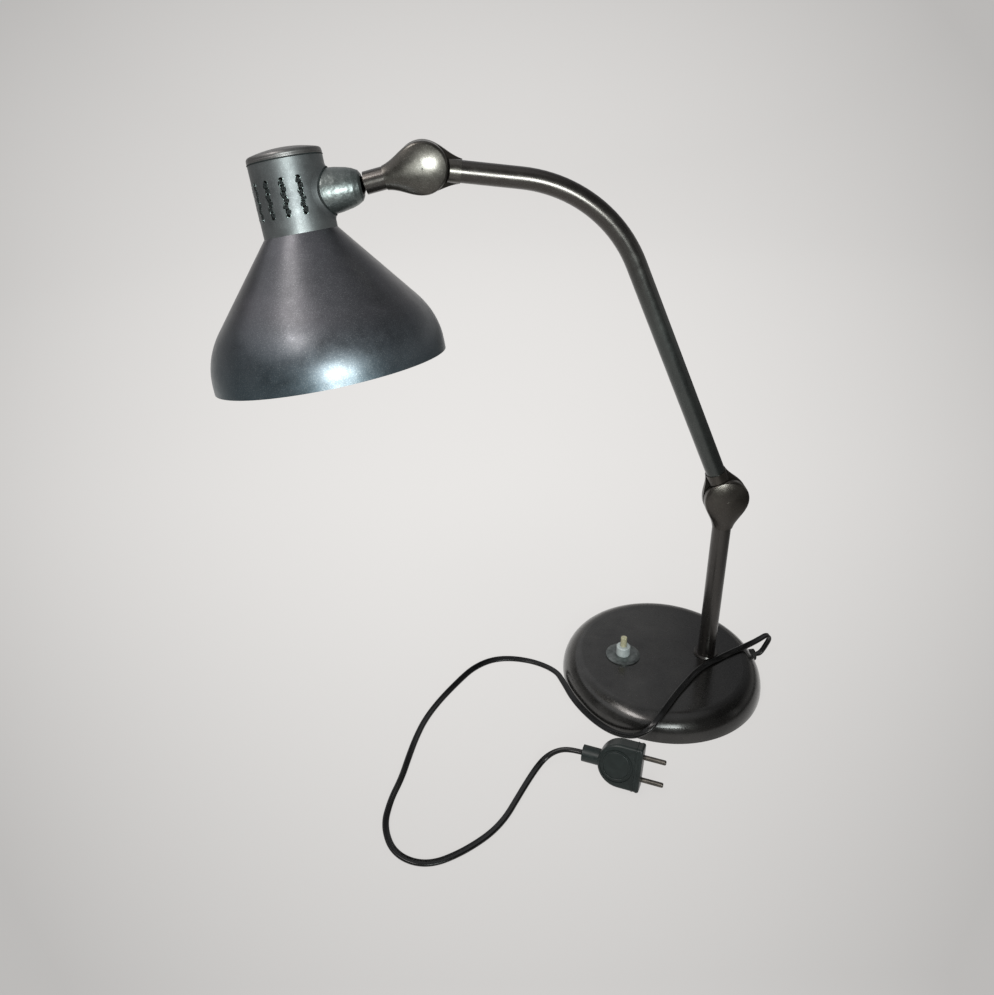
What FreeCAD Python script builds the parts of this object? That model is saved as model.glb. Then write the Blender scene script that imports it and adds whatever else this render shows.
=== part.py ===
import FreeCAD, Part
import math
import os

from FreeCAD import Vector

# A two-joint desk lamp: round weighted base, fixed stem, long bent arm, short neck and a
# conical shade on a vented cap. Millimetres. The origin is the middle of the base on the
# desk, +Z is up, the stem stands on the +X side and the arm's plane is the XZ plane.

# Base shell
base_radius = 92.0
base_height = 22.6
base_shoulder_width = 17.6
base_side_height = 1.6
base_wall = 2.5
base_rim_bottom = 0.8
stem_hole_clearance = 0.1
boss_root = 0.5

# Felt, bottom plate, weight and screws
felt_thickness = 1.6
felt_inset = 4.5
plate_thickness = 1.5
plate_clearance = 1.1
plate_hole_clearance = 0.3
felt_hole_clearance = 1.5
weight_inset = 26.0
weight_thickness = 8.0
weight_clearance = 0.5
weight_switch_clearance = 1.0
boss_radius = 5.0
boss_circle = 52.0
boss_angles = (35.0, 155.0, 275.0)
screw_shank_radius = 2.0
screw_head_radius = 4.0
screw_head_thickness = 1.0
screw_length = 13.0

# Stem
stem_x = 42.0
tube_radius = 8.0
tube_bore = 7.0
stem_foot_depth = 14.1
stem_nut_radius = 14.0
stem_nut_thickness = 3.5
ferrule_radius = 11.3
ferrule_thickness = 2.4
ferrule_edge = 0.9
ferrule_chamfer = 1.0
stem_entry_length = 20.0
stem_entry_clearance = 0.9
stem_entry_offset = 0.6

# Switch
switch_x = -36.5
rosette_radius = 15.8
rosette_edge = 0.9
rosette_thickness = 1.8
rosette_bevel = 2.6
rosette_bevel_share = 0.75
rosette_land = 1.0
collar_nut_radius = 6.4
collar_nut_height = 9.1
collar_nut_chamfer = 0.8
collar_nut_lip = 2.4
collar_nut_seat = 0.4
bushing_radius = 5.2
bushing_bore = 4.1
plunger_radius = 2.9
plunger_height = 9.7
plunger_clearance = 0.2
plunger_rounding = 0.9
plunger_flange_gap = 0.3
plunger_spare = 1.0
plunger_flange_radius = 3.9
plunger_flange_thickness = 2.0
plunger_travel = 3.5
switch_body_radius = 9.5
switch_body_height = 13.6
switch_floor = 3.0

# Joints of the arm: the two hinge centres, in the XZ plane
elbow_shift = 0.1
elbow_z = 191.1
wrist_x = -206.4
wrist_z = 469.7

# Arm: one tube with one bend
arm_corner_x = -73.1
arm_corner_z = 453.1
arm_bend_radius = 110.0

# Knuckles
knuckle_radius = 18.9
knuckle_wall = 4.5
knuckle_dome = 6.0
knuckle_rounding = 3.0
sleeve_length = 28.0
sleeve_radius = 8.6
sleeve_wall = 0.8
sleeve_rounding = 6.3
sleeve_relief = 20.0
sleeve_step = 0.15
spigot_root = 4.0
thread_end = 0.3
spigot_length = 12.0
neck_spigot_length = 6.0
spigot_clearance = 0.1
front_gap = 0.5
back_gap = 0.65
chamber_inner = 5.0
chamber_outer = 10.8
chamber_depth = 3.5
lead_bore = 2.1
lead_bore_start = 3.0
lead_bore_end = 6.0
cavity_depth = 7.0
lead_offset = 3.1
sleeve_cavity = 5.3

# Pivots
washer_thickness = 1.0
washer_outer = 17.5
bolt_radius = 3.0
bolt_hole_clearance = 0.1
bolt_head_radius = 5.5
bolt_head_thickness = 2.6
bolt_socket_radius = 1.9
bolt_socket_depth = 1.6
counterbore_radius = 6.0
counterbore_floor = 7.2
bolt_end = 8.0
spring_washer_thickness = 1.2

# Neck and ball joint
neck_tube_radius = 8.25
neck_end_wall = 5.0
neck_drop = 13.48
neck_gap = 11.5
ball_radius = 11.5
ball_clearance = 0.05
ball_distance = 54.31
stud_radius = 4.5
stud_thread_radius = 3.6
stud_thread_length = 3.4
stud_bore = 2.5
stud_shoulder = 0.1
swivel_nut_radius = 6.4
swivel_nut_thickness = 2.6
running_clearance = 0.05

# Head: point where the cap's axis crosses the collar's axis, and its two turns
head_x = -301.2
head_z = 450.33
head_pitch = -9.03
head_roll = -10.0

# Collar on the side of the cap, distances from the cap's axis
ball_centre = 42.5
collar_root = 25.0
collar_mouth = 51.5
mouth_radius = 7.6
collar_outline = ((16.9, 25.0), (16.0, 34.0), (15.2, 38.0), (14.4, 42.0), (13.1, 46.0), (11.0, 50.0))
collar_root_depth = 3.0
collar_hollow_depth = 5.0
wall_contact = 0.05
saddle_flat_margin = 0.8
saddle_rise = 2.0
collar_lip_radius = 8.6
collar_base_start = 19.4
collar_base_end = 30.0
collar_nut_outer = 13.5
collar_nut_depth = 2.4
seat_front = 37.0

# Cap and lid, measured down the head's axis from the collar's axis
cap_radius = 27.3
cap_wall = 0.9
cap_top = -26.6
cap_bottom = 25.1
bead_top = -19.0
bead_bottom = -17.6
bead_radius = 25.0
bead_step = 0.7
lid_rim_top = -29.5
lid_dome_height = 6.0
lid_wall = 1.2
lid_rounding = 2.6
lid_skirt_clearance = 0.1
lid_skirt_bottom = -20.6
vent_radius = 1.6
vent_pitch = 4.07
vent_cells = 7
vent_first = -12.6
vent_columns = (-167.14, -141.43, -115.71, -90.0, -64.29, 64.29, 90.0, 115.71, 141.43, 167.14)

# Shade
shade_wall = 0.9
shade_cone_radius = 74.7
shade_cone_bottom = 83.7
shade_skirt_radius = 88.9
shade_curve_bottom = 122.3
shade_rim = 127.5
shade_hole = 18.8

# Lampholder and bulb
bridge_thickness = 1.5
bridge_clearance = 0.2
bridge_bar = 7.0
nipple_radius = 5.0
nipple_bore = 3.6
nipple_top = -26.0
nipple_reach = 4.0
nipple_nut_radius = 8.0
nipple_nut_thickness = 3.5
holder_cap_radius = 18.0
holder_wall = 1.6
holder_shoulder = 6.0
holder_corner = 0.6
holder_split = 2.0
holder_radius = 18.5
holder_bore = 13.7
holder_bottom = 32.0
holder_flange_radius = 24.0
holder_flange_thickness = 2.0
shade_ring_radius = 25.5
shade_ring_height = 5.0
thread_clearance = 0.05
insulator_radius = 13.0
insulator_thickness = 4.0
contact_radius = 3.0
contact_height = 2.2
contact_lead = 8.0
bulb_cap_radius = 13.1
bulb_cap_length = 24.0
bulb_glass_radius = 30.0
bulb_length = 103.0
bulb_wall = 0.9
bulb_cap_tip = 1.5
bulb_cap_taper = 5.0
bulb_neck_clearance = 0.3
bulb_neck_pull = 16.0
bulb_globe_pull = 12.0
bulb_join_angle = 32.0
bulb_middle_angle = 40.0

# Mains entry: grommet in the side of the base and the clamp behind it
cord_angle = 8.0
cord_height_share = 0.354
grommet_hole = 4.0
grommet_flange = 5.5
grommet_inner_flange = 4.8
grommet_bore = 2.1
grommet_flange_root = 4.0
grommet_reach = 2.52
grommet_depth = 5.5
clamp_shift = 2.25
clamp_offset = 1.6
clamp_weight_gap = 1.3
clamp_length = 14.0
clamp_width = 10.0
clamp_screw_radius = 1.5
clamp_screw_head = 2.8
clamp_screw_head_thickness = 1.2
clamp_screw_inset = 1.7
clamp_screw_lift = 0.2

# Leads inside
lead_radius = 1.9
base_lead_radius = 1.6
lead_start = 3.0
lead_clamp_gap = 2.0
lead_turn_gap = 1.0
lead_neck_end = 9.0
lead_nut_pass = (3.5, 4.8)
base_lead_points = ((28.0, 23.4), (6.0, 18.0), (-13.0, 7.5))
base_lead_end_y = 2.0
stem_lead_start_y = -3.0
stem_lead_points = ((-18.0, -5.0, 2.3), (-4.0, -6.5, 0.4), (14.0, -6.0, 0.0), (29.0, -4.6, 0.1))
stem_lead_rise = (5.0, 0.6, 2.0)
stem_lead_gap = 0.4
stem_lead_foot = (1.0, 0.2, 7.5)
stem_lead_straight = 24.0
neck_lead_side = 21.0
neck_lead_middle = 31.0
neck_lead_middle_offset = 0.2

# Mains cord and plug
cord_radius = 2.0
plug_x = -44.1
plug_y = -135.0
plug_z = 19.25
plug_turn = -21.9
plug_lean = 20.0
plug_width = 36.4
plug_depth = 16.4
plug_shoulder = 17.3
plug_face_thickness = 2.5
plug_edge = 2.4
plug_groove_radius = 13.2
plug_groove_width = 1.0
plug_groove_depth = 0.7
plug_groove_back = 19.9
plug_stub_radius = 6.7
plug_stub_end = 49.0
pin_radius = 2.0
pin_pitch = 19.0
pin_length = 18.0
pin_root = 8.0
pin_rounding = 1.2

# Route of the mains cord, chosen by hand along the photographed cord, round a base of this
# radius and height and on a floor run of this height: the route spreads and lifts with the base
cord_base_radius = 92.0
cord_base_height = 22.6
cord_floor_height = 2.1
cord_points = (
    (97.6, 13.71, 8.0),
    (101.0, 14.8, 10.2),
    (103.8, 15.9, 14.6),
    (106.4, 17.0, 19.4),
    (108.0, 17.6, 23.0),
    (106.9, 17.15, 27.25),
    (103.0, 15.5, 29.0),
    (97.9, 13.4, 27.3),
    (89.5, 9.6, 25.4),
    (77.5, 3.2, 25.0),
    (64.5, -3.0, 24.8),
    (51.5, -10.7, 24.8),
    (38.0, -18.3, 24.8),
    (26.0, -28.0, 24.8),
    (14.0, -41.2, 24.8),
    (2.0, -55.0, 24.8),
    (-9.0, -69.5, 25.4),
    (-19.5, -83.5, 24.8),
    (-30.0, -92.2, 17.0),
    (-43.0, -89.5, 7.5),
    (-58.5, -78.0, 2.4),
    (-74.0, -61.5, 3.0),
    (-87.5, -41.0, 6.2),
    (-93.8, -17.5, 5.6),
    (-99.2, 4.0, 2.6),
    (-123.5, 20.5, 2.1),
    (-154.0, 24.0, 2.1),
    (-177.0, 12.0, 2.1),
    (-195.0, -11.0, 2.1),
    (-211.0, -34.5, 2.1),
    (-223.0, -57.0, 2.1),
    (-230.5, -80.0, 2.1),
    (-235.5, -102.0, 2.1),
    (-240.0, -124.0, 2.1),
    (-247.5, -146.0, 2.1),
    (-251.0, -171.0, 2.1),
    (-241.0, -196.0, 2.1),
    (-216.5, -206.0, 2.1),
    (-188.5, -194.5, 2.1),
    (-160.0, -172.5, 2.1),
    (-141.5, -139.0, 2.1),
    (-129.0, -118.0, 2.6),
    (-119.5, -109.2, 7.5),
    (-109.5, -108.8, 14.5),
    (-99.3, -112.8, 19.25),
)

# How far a cutting tool runs past what it cuts, and a small overlap of joined blocks
cut_margin = 5.0
far_past = 300.0
overlap = 1.0

X = Vector(1, 0, 0)
Y = Vector(0, 1, 0)
Z = Vector(0, 0, 1)
shapes = {}


def keep(name, shape):
    """Store one sub-part under the name of its file."""
    shapes[name] = shape


def frame(origin, x_axis, z_axis):
    """Placement with its origin, its z axis exact and its x axis as near as that allows."""
    y_axis = z_axis.cross(x_axis)
    return FreeCAD.Placement(origin, FreeCAD.Rotation(x_axis, y_axis, z_axis, "ZXY"))


def put(shape, place):
    """Copy of a shape moved into a frame."""
    moved = shape.copy()
    moved.Placement = place.multiply(moved.Placement)
    return moved


def rod(radius, bottom, top, x=0.0, y=0.0):
    """Solid cylinder along Z between two heights."""
    return Part.makeCylinder(radius, top - bottom, Vector(x, y, bottom))


def ring(outer, inner, bottom, top, x=0.0, y=0.0):
    """Flat ring or tube along Z between two heights."""
    return rod(outer, bottom, top, x, y).cut(rod(inner, bottom - 1, top + 1, x, y))


def box(x0, x1, y0, y1, z0, z1):
    """Block between two corners."""
    return Part.makeBox(x1 - x0, y1 - y0, z1 - z0, Vector(x0, y0, z0))


def edges_between(points):
    """Straight edges through (radius, height) points in the XZ plane."""
    places = [Vector(r, 0, z) for r, z in points]
    return [Part.makeLine(a, b) for a, b in zip(places, places[1:])]


def quarter_ellipse(centre_r, centre_z, width, height):
    """Edge of the upper right quarter of an ellipse, from its side point to its top point."""
    centre = Vector(centre_r, 0, centre_z)
    side = centre + Vector(width, 0, 0)
    top = centre + Vector(0, 0, height)
    if height > width:
        curve = Part.Ellipse(top, side, centre)
        edge = Part.Edge(Part.ArcOfEllipse(curve, 0.0, math.pi / 2))
    else:
        curve = Part.Ellipse(side, top, centre)
        edge = Part.Edge(Part.ArcOfEllipse(curve, 0.0, math.pi / 2))
    return edge


def turned(edges):
    """Solid of revolution about Z from a closed outline in the XZ plane."""
    wire = Part.Wire(Part.__sortEdges__(edges))
    return Part.Face(wire).revolve(Vector(0, 0, 0), Z, 360)


def turned_points(points):
    """Solid of revolution about Z from a closed polygon of (radius, height) points."""
    return turned(edges_between(list(points) + [points[0]]))


def section(radius, centre, direction):
    """Round wire of a tube's section, square to a direction."""
    return Part.Wire(Part.makeCircle(radius, centre, direction))


def routed_tube(name, points, radius):
    """Tube of straight runs joined by tangent arcs, each as large as its two runs allow."""
    places = [Vector(*p) for p in points]
    edges = []
    last = places[0]
    length = 0.0
    radii = []
    for before, corner, after in zip(places, places[1:], places[2:]):
        run_in = corner - before
        run_out = after - corner
        turn = run_in.getAngle(run_out)
        cut_back = 0.45 * min(run_in.Length, run_out.Length)
        bend = cut_back / math.tan(turn / 2)
        start = corner - Vector(run_in).normalize() * cut_back
        end = corner + Vector(run_out).normalize() * cut_back
        inward = (start - corner + end - corner).normalize()
        middle = corner + inward * (bend / math.cos(turn / 2) - bend)
        edges.append(Part.LineSegment(last, start).toShape())
        edges.append(Part.Arc(start, middle, end).toShape())
        length += (start - last).Length + bend * turn
        radii.append(round(bend, 1))
        last = end
    edges.append(Part.LineSegment(last, places[-1]).toShape())
    length += (places[-1] - last).Length
    first_run = (places[1] - places[0]).normalize()
    tube = Part.Wire(edges).makePipeShell([section(radius, places[0], first_run)], True, False)
    expected = math.pi * radius ** 2 * length
    print(name, "length", round(length, 1), "radii", radii, "volume ratio", round(tube.Volume / expected, 4))
    return tube


def arch(centre, across, up, half_width, height, side_radius):
    """Three tangent arcs over a span, from its right foot to its left foot: two small side
    arcs that start upright and a large one between them."""
    inset = half_width - side_radius
    crown = (inset ** 2 + height ** 2 - side_radius ** 2) / (2 * (height - side_radius))
    swing = math.atan2(crown - height, inset)

    def place(angle, mirrored):
        x = inset + side_radius * math.cos(angle)
        return centre + across * (-x if mirrored else x) + up * (side_radius * math.sin(angle))

    right = Part.Arc(place(0, False), place(swing / 2, False), place(swing, False)).toShape()
    top = Part.Arc(place(swing, False), centre + up * height, place(swing, True)).toShape()
    left = Part.Arc(place(swing, True), place(swing / 2, True), place(0, True)).toShape()
    return [right, top, left]


def half_arch(base, half_width, height, side_radius):
    """Right half of that arch in the XZ plane, from its foot to the axis."""
    side_arc, top_arc, other = arch(Vector(0, 0, base), X, Z, half_width, height, side_radius)
    join = side_arc.valueAt(side_arc.LastParameter)
    circle = top_arc.Curve
    top = Vector(0, 0, base + height)
    middle = circle.Center + ((join + top) * 0.5 - circle.Center).normalize() * circle.Radius
    return [side_arc, Part.Arc(join, middle, top).toShape()]


def knuckle(along, side, gap, spigot, threaded):
    """Half of a hinge with its sleeve. The hinge axis is Y, the tube leaves along the given
    direction in the XZ plane, and the half lies on the given side of the middle plane."""
    # Built with the tube along +Z and the half on +Y, its contact face at y = gap
    crown_height = gap + knuckle_wall + knuckle_dome

    def end_section(t, half_width, blend):
        wall = knuckle_wall + (sleeve_wall - knuckle_wall) * blend
        dome = knuckle_dome + (sleeve_radius - gap - sleeve_wall - knuckle_dome) * blend
        rounding = knuckle_rounding + (sleeve_rounding - knuckle_rounding) * blend
        centre = Vector(0, gap + wall, t)
        arcs = arch(centre, X, Y, half_width, dome, rounding)
        right = Vector(half_width, gap + wall, t)
        left = Vector(-half_width, gap + wall, t)
        right_foot = Vector(half_width, gap, t)
        left_foot = Vector(-half_width, gap, t)
        foot = Part.makeLine(left_foot, right_foot)
        rise = Part.makeLine(right_foot, right)
        fall = Part.makeLine(left, left_foot)
        return Part.Wire([foot, rise] + arcs + [fall])

    end_width = math.sqrt(sleeve_radius ** 2 - gap ** 2) + sleeve_step
    reach = knuckle_radius - end_width
    # Sections of the pear-shaped half: share of the length, of the narrowing and of the sleeve's form
    sections = ((0.0, 0.0, 0.0), (0.21, 0.095, 0.01), (0.43, 0.34, 0.15),
                (0.64, 0.64, 0.45), (0.82, 0.86, 0.78), (1.0, 1.0, 1.0))
    wires = []
    for share, narrowing, blend in sections:
        wires.append(end_section(share * sleeve_length, knuckle_radius - reach * narrowing, blend))
    drop_shape = Part.makeLoft(wires, True, False)
    outline = edges_between([(0, crown_height), (0, gap), (knuckle_radius, gap),
                             (knuckle_radius, gap + knuckle_wall)])
    outline += half_arch(gap + knuckle_wall, knuckle_radius, knuckle_dome, knuckle_rounding)
    rear = Part.Face(Part.Wire(Part.__sortEdges__(outline))).revolve(Vector(0, 0, 0), Z, 180)
    rear.rotate(Vector(0, 0, 0), X, -90)
    below = box(-far_past, far_past, -far_past, gap, 0, far_past)
    sleeve = rod(sleeve_radius, 0, sleeve_length).common(below)
    sleeve = sleeve.cut(Part.makeCylinder(sleeve_relief, far_past + gap, Vector(0, -far_past, 0), Y))
    spigot_rod = rod(tube_bore - spigot_clearance, sleeve_length - spigot_root, sleeve_length + spigot)
    body = drop_shape.fuse([rear, sleeve, spigot_rod])
    # Hollow for the leads: a ring-shaped chamber, a bore beside the middle plane, a wider cavity
    chamber = ring(chamber_outer, chamber_inner, gap - overlap, gap + chamber_depth)
    chamber.rotate(Vector(0, 0, 0), X, -90)
    bore = rod(lead_bore, chamber_inner + lead_bore_start, sleeve_length - lead_bore_end, 0, lead_offset)
    cavity = rod(sleeve_cavity, sleeve_length - cavity_depth, sleeve_length + spigot + overlap)
    body = body.cut([chamber, bore, cavity])
    if threaded:
        body = body.cut(Part.makeCylinder(bolt_radius, bolt_end + thread_end, Vector(0, 0, 0), Y))
    else:
        hole = Part.makeCylinder(bolt_radius + bolt_hole_clearance, far_past, Vector(0, 0, 0), Y)
        counterbore = Part.makeCylinder(counterbore_radius, far_past, Vector(0, counterbore_floor, 0), Y)
        body = body.cut([hole, counterbore])
    if side < 0:
        body = body.mirror(Vector(0, 0, 0), Y)
    return put(body, frame(Vector(0, 0, 0), along.cross(Y) * -1, along))


def pivot(prefix, centre):
    """Bolt, spring washer and friction washer of one hinge, along Y through its centre."""
    head_start = counterbore_floor + spring_washer_thickness
    bolt = rod(bolt_radius - running_clearance, -bolt_end, head_start)
    head = rod(bolt_head_radius, head_start, head_start + bolt_head_thickness)
    socket_floor = head_start + bolt_head_thickness - bolt_socket_depth
    socket = rod(bolt_socket_radius, socket_floor, socket_floor + cut_margin)
    bolt = bolt.fuse(head).cut(socket)
    spring = ring(bolt_head_radius, bolt_radius + bolt_hole_clearance, counterbore_floor, head_start)
    washer = ring(washer_outer, chamber_outer, -front_gap, washer_thickness - front_gap)
    across = frame(centre, X, Y)
    keep(prefix + "_pivot_bolt", put(bolt, across))
    keep(prefix + "_spring_washer", put(spring, across))
    keep(prefix + "_friction_washer", put(washer, across))


# Sizes and places that follow from the base's own sizes
shell_ceiling = base_height - base_wall
cord_height = base_height * cord_height_share
plate_top = felt_thickness + plate_thickness
weight_radius = base_radius - weight_inset
weight_bottom = shell_ceiling - weight_thickness
plate_radius = base_radius - base_wall - plate_clearance
base_shoulder_height = base_height - base_side_height
flat_radius = base_radius - base_shoulder_width
grommet_outer = base_radius + grommet_reach
grommet_inner = base_radius - grommet_depth
lead_turn = stem_x + stem_nut_radius + lead_turn_gap
clamp_distance = (lead_turn + grommet_inner) / 2 + clamp_shift
clamp_top = weight_bottom - clamp_weight_gap
cord_out = Vector(math.cos(math.radians(cord_angle)), math.sin(math.radians(cord_angle)), 0)


def base_outside(extra=0.0):
    """Solid envelope of the base shell, grown by an even margin."""
    outline = edges_between([(flat_radius, base_height + extra), (0, base_height + extra),
                             (0, base_rim_bottom), (base_radius + extra, base_rim_bottom),
                             (base_radius + extra, base_side_height)])
    outline.append(quarter_ellipse(flat_radius, base_side_height, base_shoulder_width + extra,
                                   base_shoulder_height + extra))
    return turned(outline)


def boss_places():
    """Centres of the three screw bosses."""
    angles = [math.radians(a) for a in boss_angles]
    return [(boss_circle * math.cos(a), boss_circle * math.sin(a)) for a in angles]


def radial_rod(radius, start, end):
    """Cylinder along the cord's exit direction at the cord's height, by distance from the middle."""
    return Part.makeCylinder(radius, end - start, cord_out * start + Z * cord_height, cord_out)


def build_base():
    """Shell, weight, plate, felt and the screws that hold them."""
    inner = base_outside(-base_wall).fuse(rod(base_radius - base_wall, 0, base_side_height))
    shell = base_outside().cut(inner)
    bosses = [rod(boss_radius, plate_top, shell_ceiling + boss_root, x, y) for x, y in boss_places()]
    shell = shell.fuse(bosses)
    thread_top = plate_top + screw_length
    pilot = [rod(screw_shank_radius, plate_top - overlap, thread_top, x, y) for x, y in boss_places()]
    holes = [rod(tube_radius + stem_hole_clearance, 0, far_past, stem_x, 0),
             rod(bushing_radius + stem_hole_clearance, 0, far_past, switch_x, 0),
             radial_rod(grommet_hole, grommet_inner - cut_margin, grommet_outer + cut_margin)]
    keep("base_shell", shell.cut(pilot + holes).removeSplitter())

    weight = rod(weight_radius, weight_bottom, shell_ceiling)
    openings = [rod(boss_radius + weight_clearance, 0, far_past, x, y) for x, y in boss_places()]
    openings += [rod(tube_radius + stem_hole_clearance, 0, far_past, stem_x, 0),
                 rod(switch_body_radius + weight_switch_clearance, 0, far_past, switch_x, 0)]
    keep("base_weight", weight.cut(openings))

    plate = rod(plate_radius, felt_thickness, plate_top)
    screw_hole = screw_shank_radius + plate_hole_clearance
    screw_holes = [rod(screw_hole, 0, far_past, x, y) for x, y in boss_places()]
    keep("base_plate", plate.cut(screw_holes))

    felt = rod(base_radius - felt_inset, 0, felt_thickness)
    felt_hole = screw_head_radius + felt_hole_clearance
    keep("base_felt", felt.cut([rod(felt_hole, -overlap, far_past, x, y) for x, y in boss_places()]))

    screws = []
    for x, y in boss_places():
        head = rod(screw_head_radius, felt_thickness - screw_head_thickness, felt_thickness, x, y)
        screws.append(head.fuse(rod(screw_shank_radius, felt_thickness, felt_thickness + screw_length, x, y)))
    keep("base_screws", Part.makeCompound(screws))


def build_stem():
    """Stem tube, the nut under the weight and the ferrule on the base."""
    foot = base_height - stem_foot_depth
    top = elbow_z - sleeve_length
    tube = ring(tube_radius, tube_bore, foot, top, stem_x, 0)
    entry_start = Vector(stem_x - stem_entry_length, -lead_offset - stem_entry_offset, foot)
    entry = Part.makeCylinder(lead_radius + stem_entry_clearance, stem_entry_length, entry_start, X)
    keep("stem_tube", tube.cut(entry))
    nut_top = weight_bottom
    keep("stem_nut", ring(stem_nut_radius, tube_radius + thread_clearance, nut_top - stem_nut_thickness,
                          nut_top, stem_x, 0))
    outline = [(tube_radius + thread_clearance, base_height), (ferrule_radius, base_height),
               (ferrule_radius, base_height + ferrule_edge),
               (ferrule_radius - ferrule_chamfer, base_height + ferrule_thickness),
               (tube_radius + thread_clearance, base_height + ferrule_thickness)]
    ferrule = turned_points(outline)
    ferrule.translate(Vector(stem_x, 0, 0))
    keep("stem_ferrule", ferrule)


def build_switch():
    """Push switch: body under the base top, rosette, collar nut and plunger."""
    body_bottom = shell_ceiling - switch_body_height
    collar_top = base_height + rosette_thickness + collar_nut_height
    bushing_top = collar_top - collar_nut_lip
    body = rod(switch_body_radius, body_bottom, shell_ceiling, switch_x)
    body = body.fuse(rod(bushing_radius, shell_ceiling - overlap, bushing_top, switch_x))
    flange_low = bushing_top - plunger_travel - plunger_flange_thickness - plunger_spare
    chamber = rod(bushing_bore, body_bottom + switch_floor, bushing_top + overlap, switch_x)
    keep("switch_body", body.cut(chamber))

    rise = (rosette_thickness - rosette_edge) * rosette_bevel_share
    bore = bushing_radius + stem_hole_clearance
    dome = turned_points([(bore, base_height), (rosette_radius, base_height),
                          (rosette_radius, base_height + rosette_edge),
                          (rosette_radius - rosette_bevel, base_height + rosette_edge + rise),
                          (collar_nut_radius + rosette_land, base_height + rosette_thickness),
                          (bore, base_height + rosette_thickness)])
    dome.translate(Vector(switch_x, 0, 0))
    keep("switch_rosette", dome)

    nut_bottom = base_height + rosette_thickness
    nut = turned_points([(bushing_radius + thread_clearance, nut_bottom), (collar_nut_radius, nut_bottom),
                         (collar_nut_radius, collar_top - collar_nut_chamfer),
                         (collar_nut_radius - collar_nut_chamfer, collar_top),
                         (plunger_radius + plunger_clearance, collar_top),
                         (plunger_radius + plunger_clearance, bushing_top + collar_nut_seat),
                         (bushing_radius + thread_clearance, bushing_top + collar_nut_seat)])
    nut.translate(Vector(switch_x, 0, 0))
    keep("switch_collar_nut", nut)

    flange_top = bushing_top + plunger_flange_gap
    plunger_top = collar_top + plunger_height
    plunger = rod(plunger_radius, flange_low, plunger_top)
    plunger = plunger.makeFillet(plunger_rounding, [e for e in plunger.Edges if e.BoundBox.ZMin > flange_top])
    plunger = plunger.fuse(rod(plunger_flange_radius, flange_top - plunger_flange_thickness, flange_top))
    plunger.translate(Vector(switch_x, 0, 0))
    keep("switch_plunger", plunger.removeSplitter())


def build_entry():
    """Grommet in the side of the base and the clamp that takes the cord's pull."""
    sleeve = radial_rod(grommet_hole, grommet_inner, grommet_outer)
    outer_flange = radial_rod(grommet_flange, base_radius - grommet_flange_root, grommet_outer)
    inner_cut = base_outside(-base_wall)
    inner_flange = radial_rod(grommet_inner_flange, grommet_inner, base_radius).common(inner_cut)
    bore = radial_rod(grommet_bore, grommet_inner - cut_margin, grommet_outer + cut_margin)
    grommet = sleeve.fuse([outer_flange.cut(base_outside()), inner_flange]).cut(bore)
    keep("cord_grommet", grommet.removeSplitter())

    half_length = clamp_length / 2
    half_width = clamp_width / 2
    block = box(-half_length, half_length, -half_width, half_width, plate_top, clamp_top)
    channel = Part.makeCylinder(base_lead_radius + thread_clearance, clamp_length + 2 * overlap,
                                Vector(-half_length - overlap, clamp_offset, cord_height), X)
    screw_y = -half_width + clamp_screw_inset
    screw_hole = rod(clamp_screw_radius, plate_top - overlap, clamp_top + overlap, 0, screw_y)
    turned_out = FreeCAD.Placement(Vector(0, 0, 0), FreeCAD.Rotation(Z, cord_angle))
    moved_out = FreeCAD.Placement(Vector(clamp_distance, -clamp_offset, 0), FreeCAD.Rotation())
    place = turned_out.multiply(moved_out)
    keep("cord_clamp", put(block.cut([channel, screw_hole]), place))
    screw = rod(clamp_screw_radius - running_clearance, plate_top + clamp_screw_lift, clamp_top, 0, screw_y)
    screw = screw.fuse(rod(clamp_screw_head, clamp_top, clamp_top + clamp_screw_head_thickness, 0, screw_y))
    keep("cord_clamp_screw", put(screw, place))


elbow = Vector(stem_x + elbow_shift, 0, elbow_z)
wrist = Vector(wrist_x, 0, wrist_z)
arm_corner = Vector(arm_corner_x, 0, arm_corner_z)
lower_arm_way = (arm_corner - elbow).normalize()
upper_arm_way = (arm_corner - wrist).normalize()
neck_way = Vector(-math.cos(math.radians(neck_drop)), 0, -math.sin(math.radians(neck_drop)))
ball = wrist + neck_way * ball_distance


def arm_path(start_distance, end_distance, offset):
    """Arm's centre line, moved across by an offset: straight, one arc, straight."""
    shift = Y * offset
    turn = lower_arm_way.getAngle(upper_arm_way * -1)
    cut_back = arm_bend_radius * math.tan(turn / 2)
    start = arm_corner - lower_arm_way * cut_back
    end = arm_corner - upper_arm_way * cut_back
    inward = (start - arm_corner + end - arm_corner).normalize()
    middle = arm_corner + inward * (arm_bend_radius / math.cos(turn / 2) - arm_bend_radius)
    first = elbow + lower_arm_way * start_distance
    last = wrist + upper_arm_way * end_distance
    edges = [Part.LineSegment(first + shift, start + shift).toShape(),
             Part.Arc(start + shift, middle + shift, end + shift).toShape(),
             Part.LineSegment(end + shift, last + shift).toShape()]
    return Part.Wire(edges)


def arm_sweep(radius, start_distance, end_distance, offset=0.0):
    """Round bar swept along the arm's centre line."""
    path = arm_path(start_distance, end_distance, offset)
    begin = elbow + lower_arm_way * start_distance + Y * offset
    return path.makePipeShell([section(radius, begin, lower_arm_way)], True, False)


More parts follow.
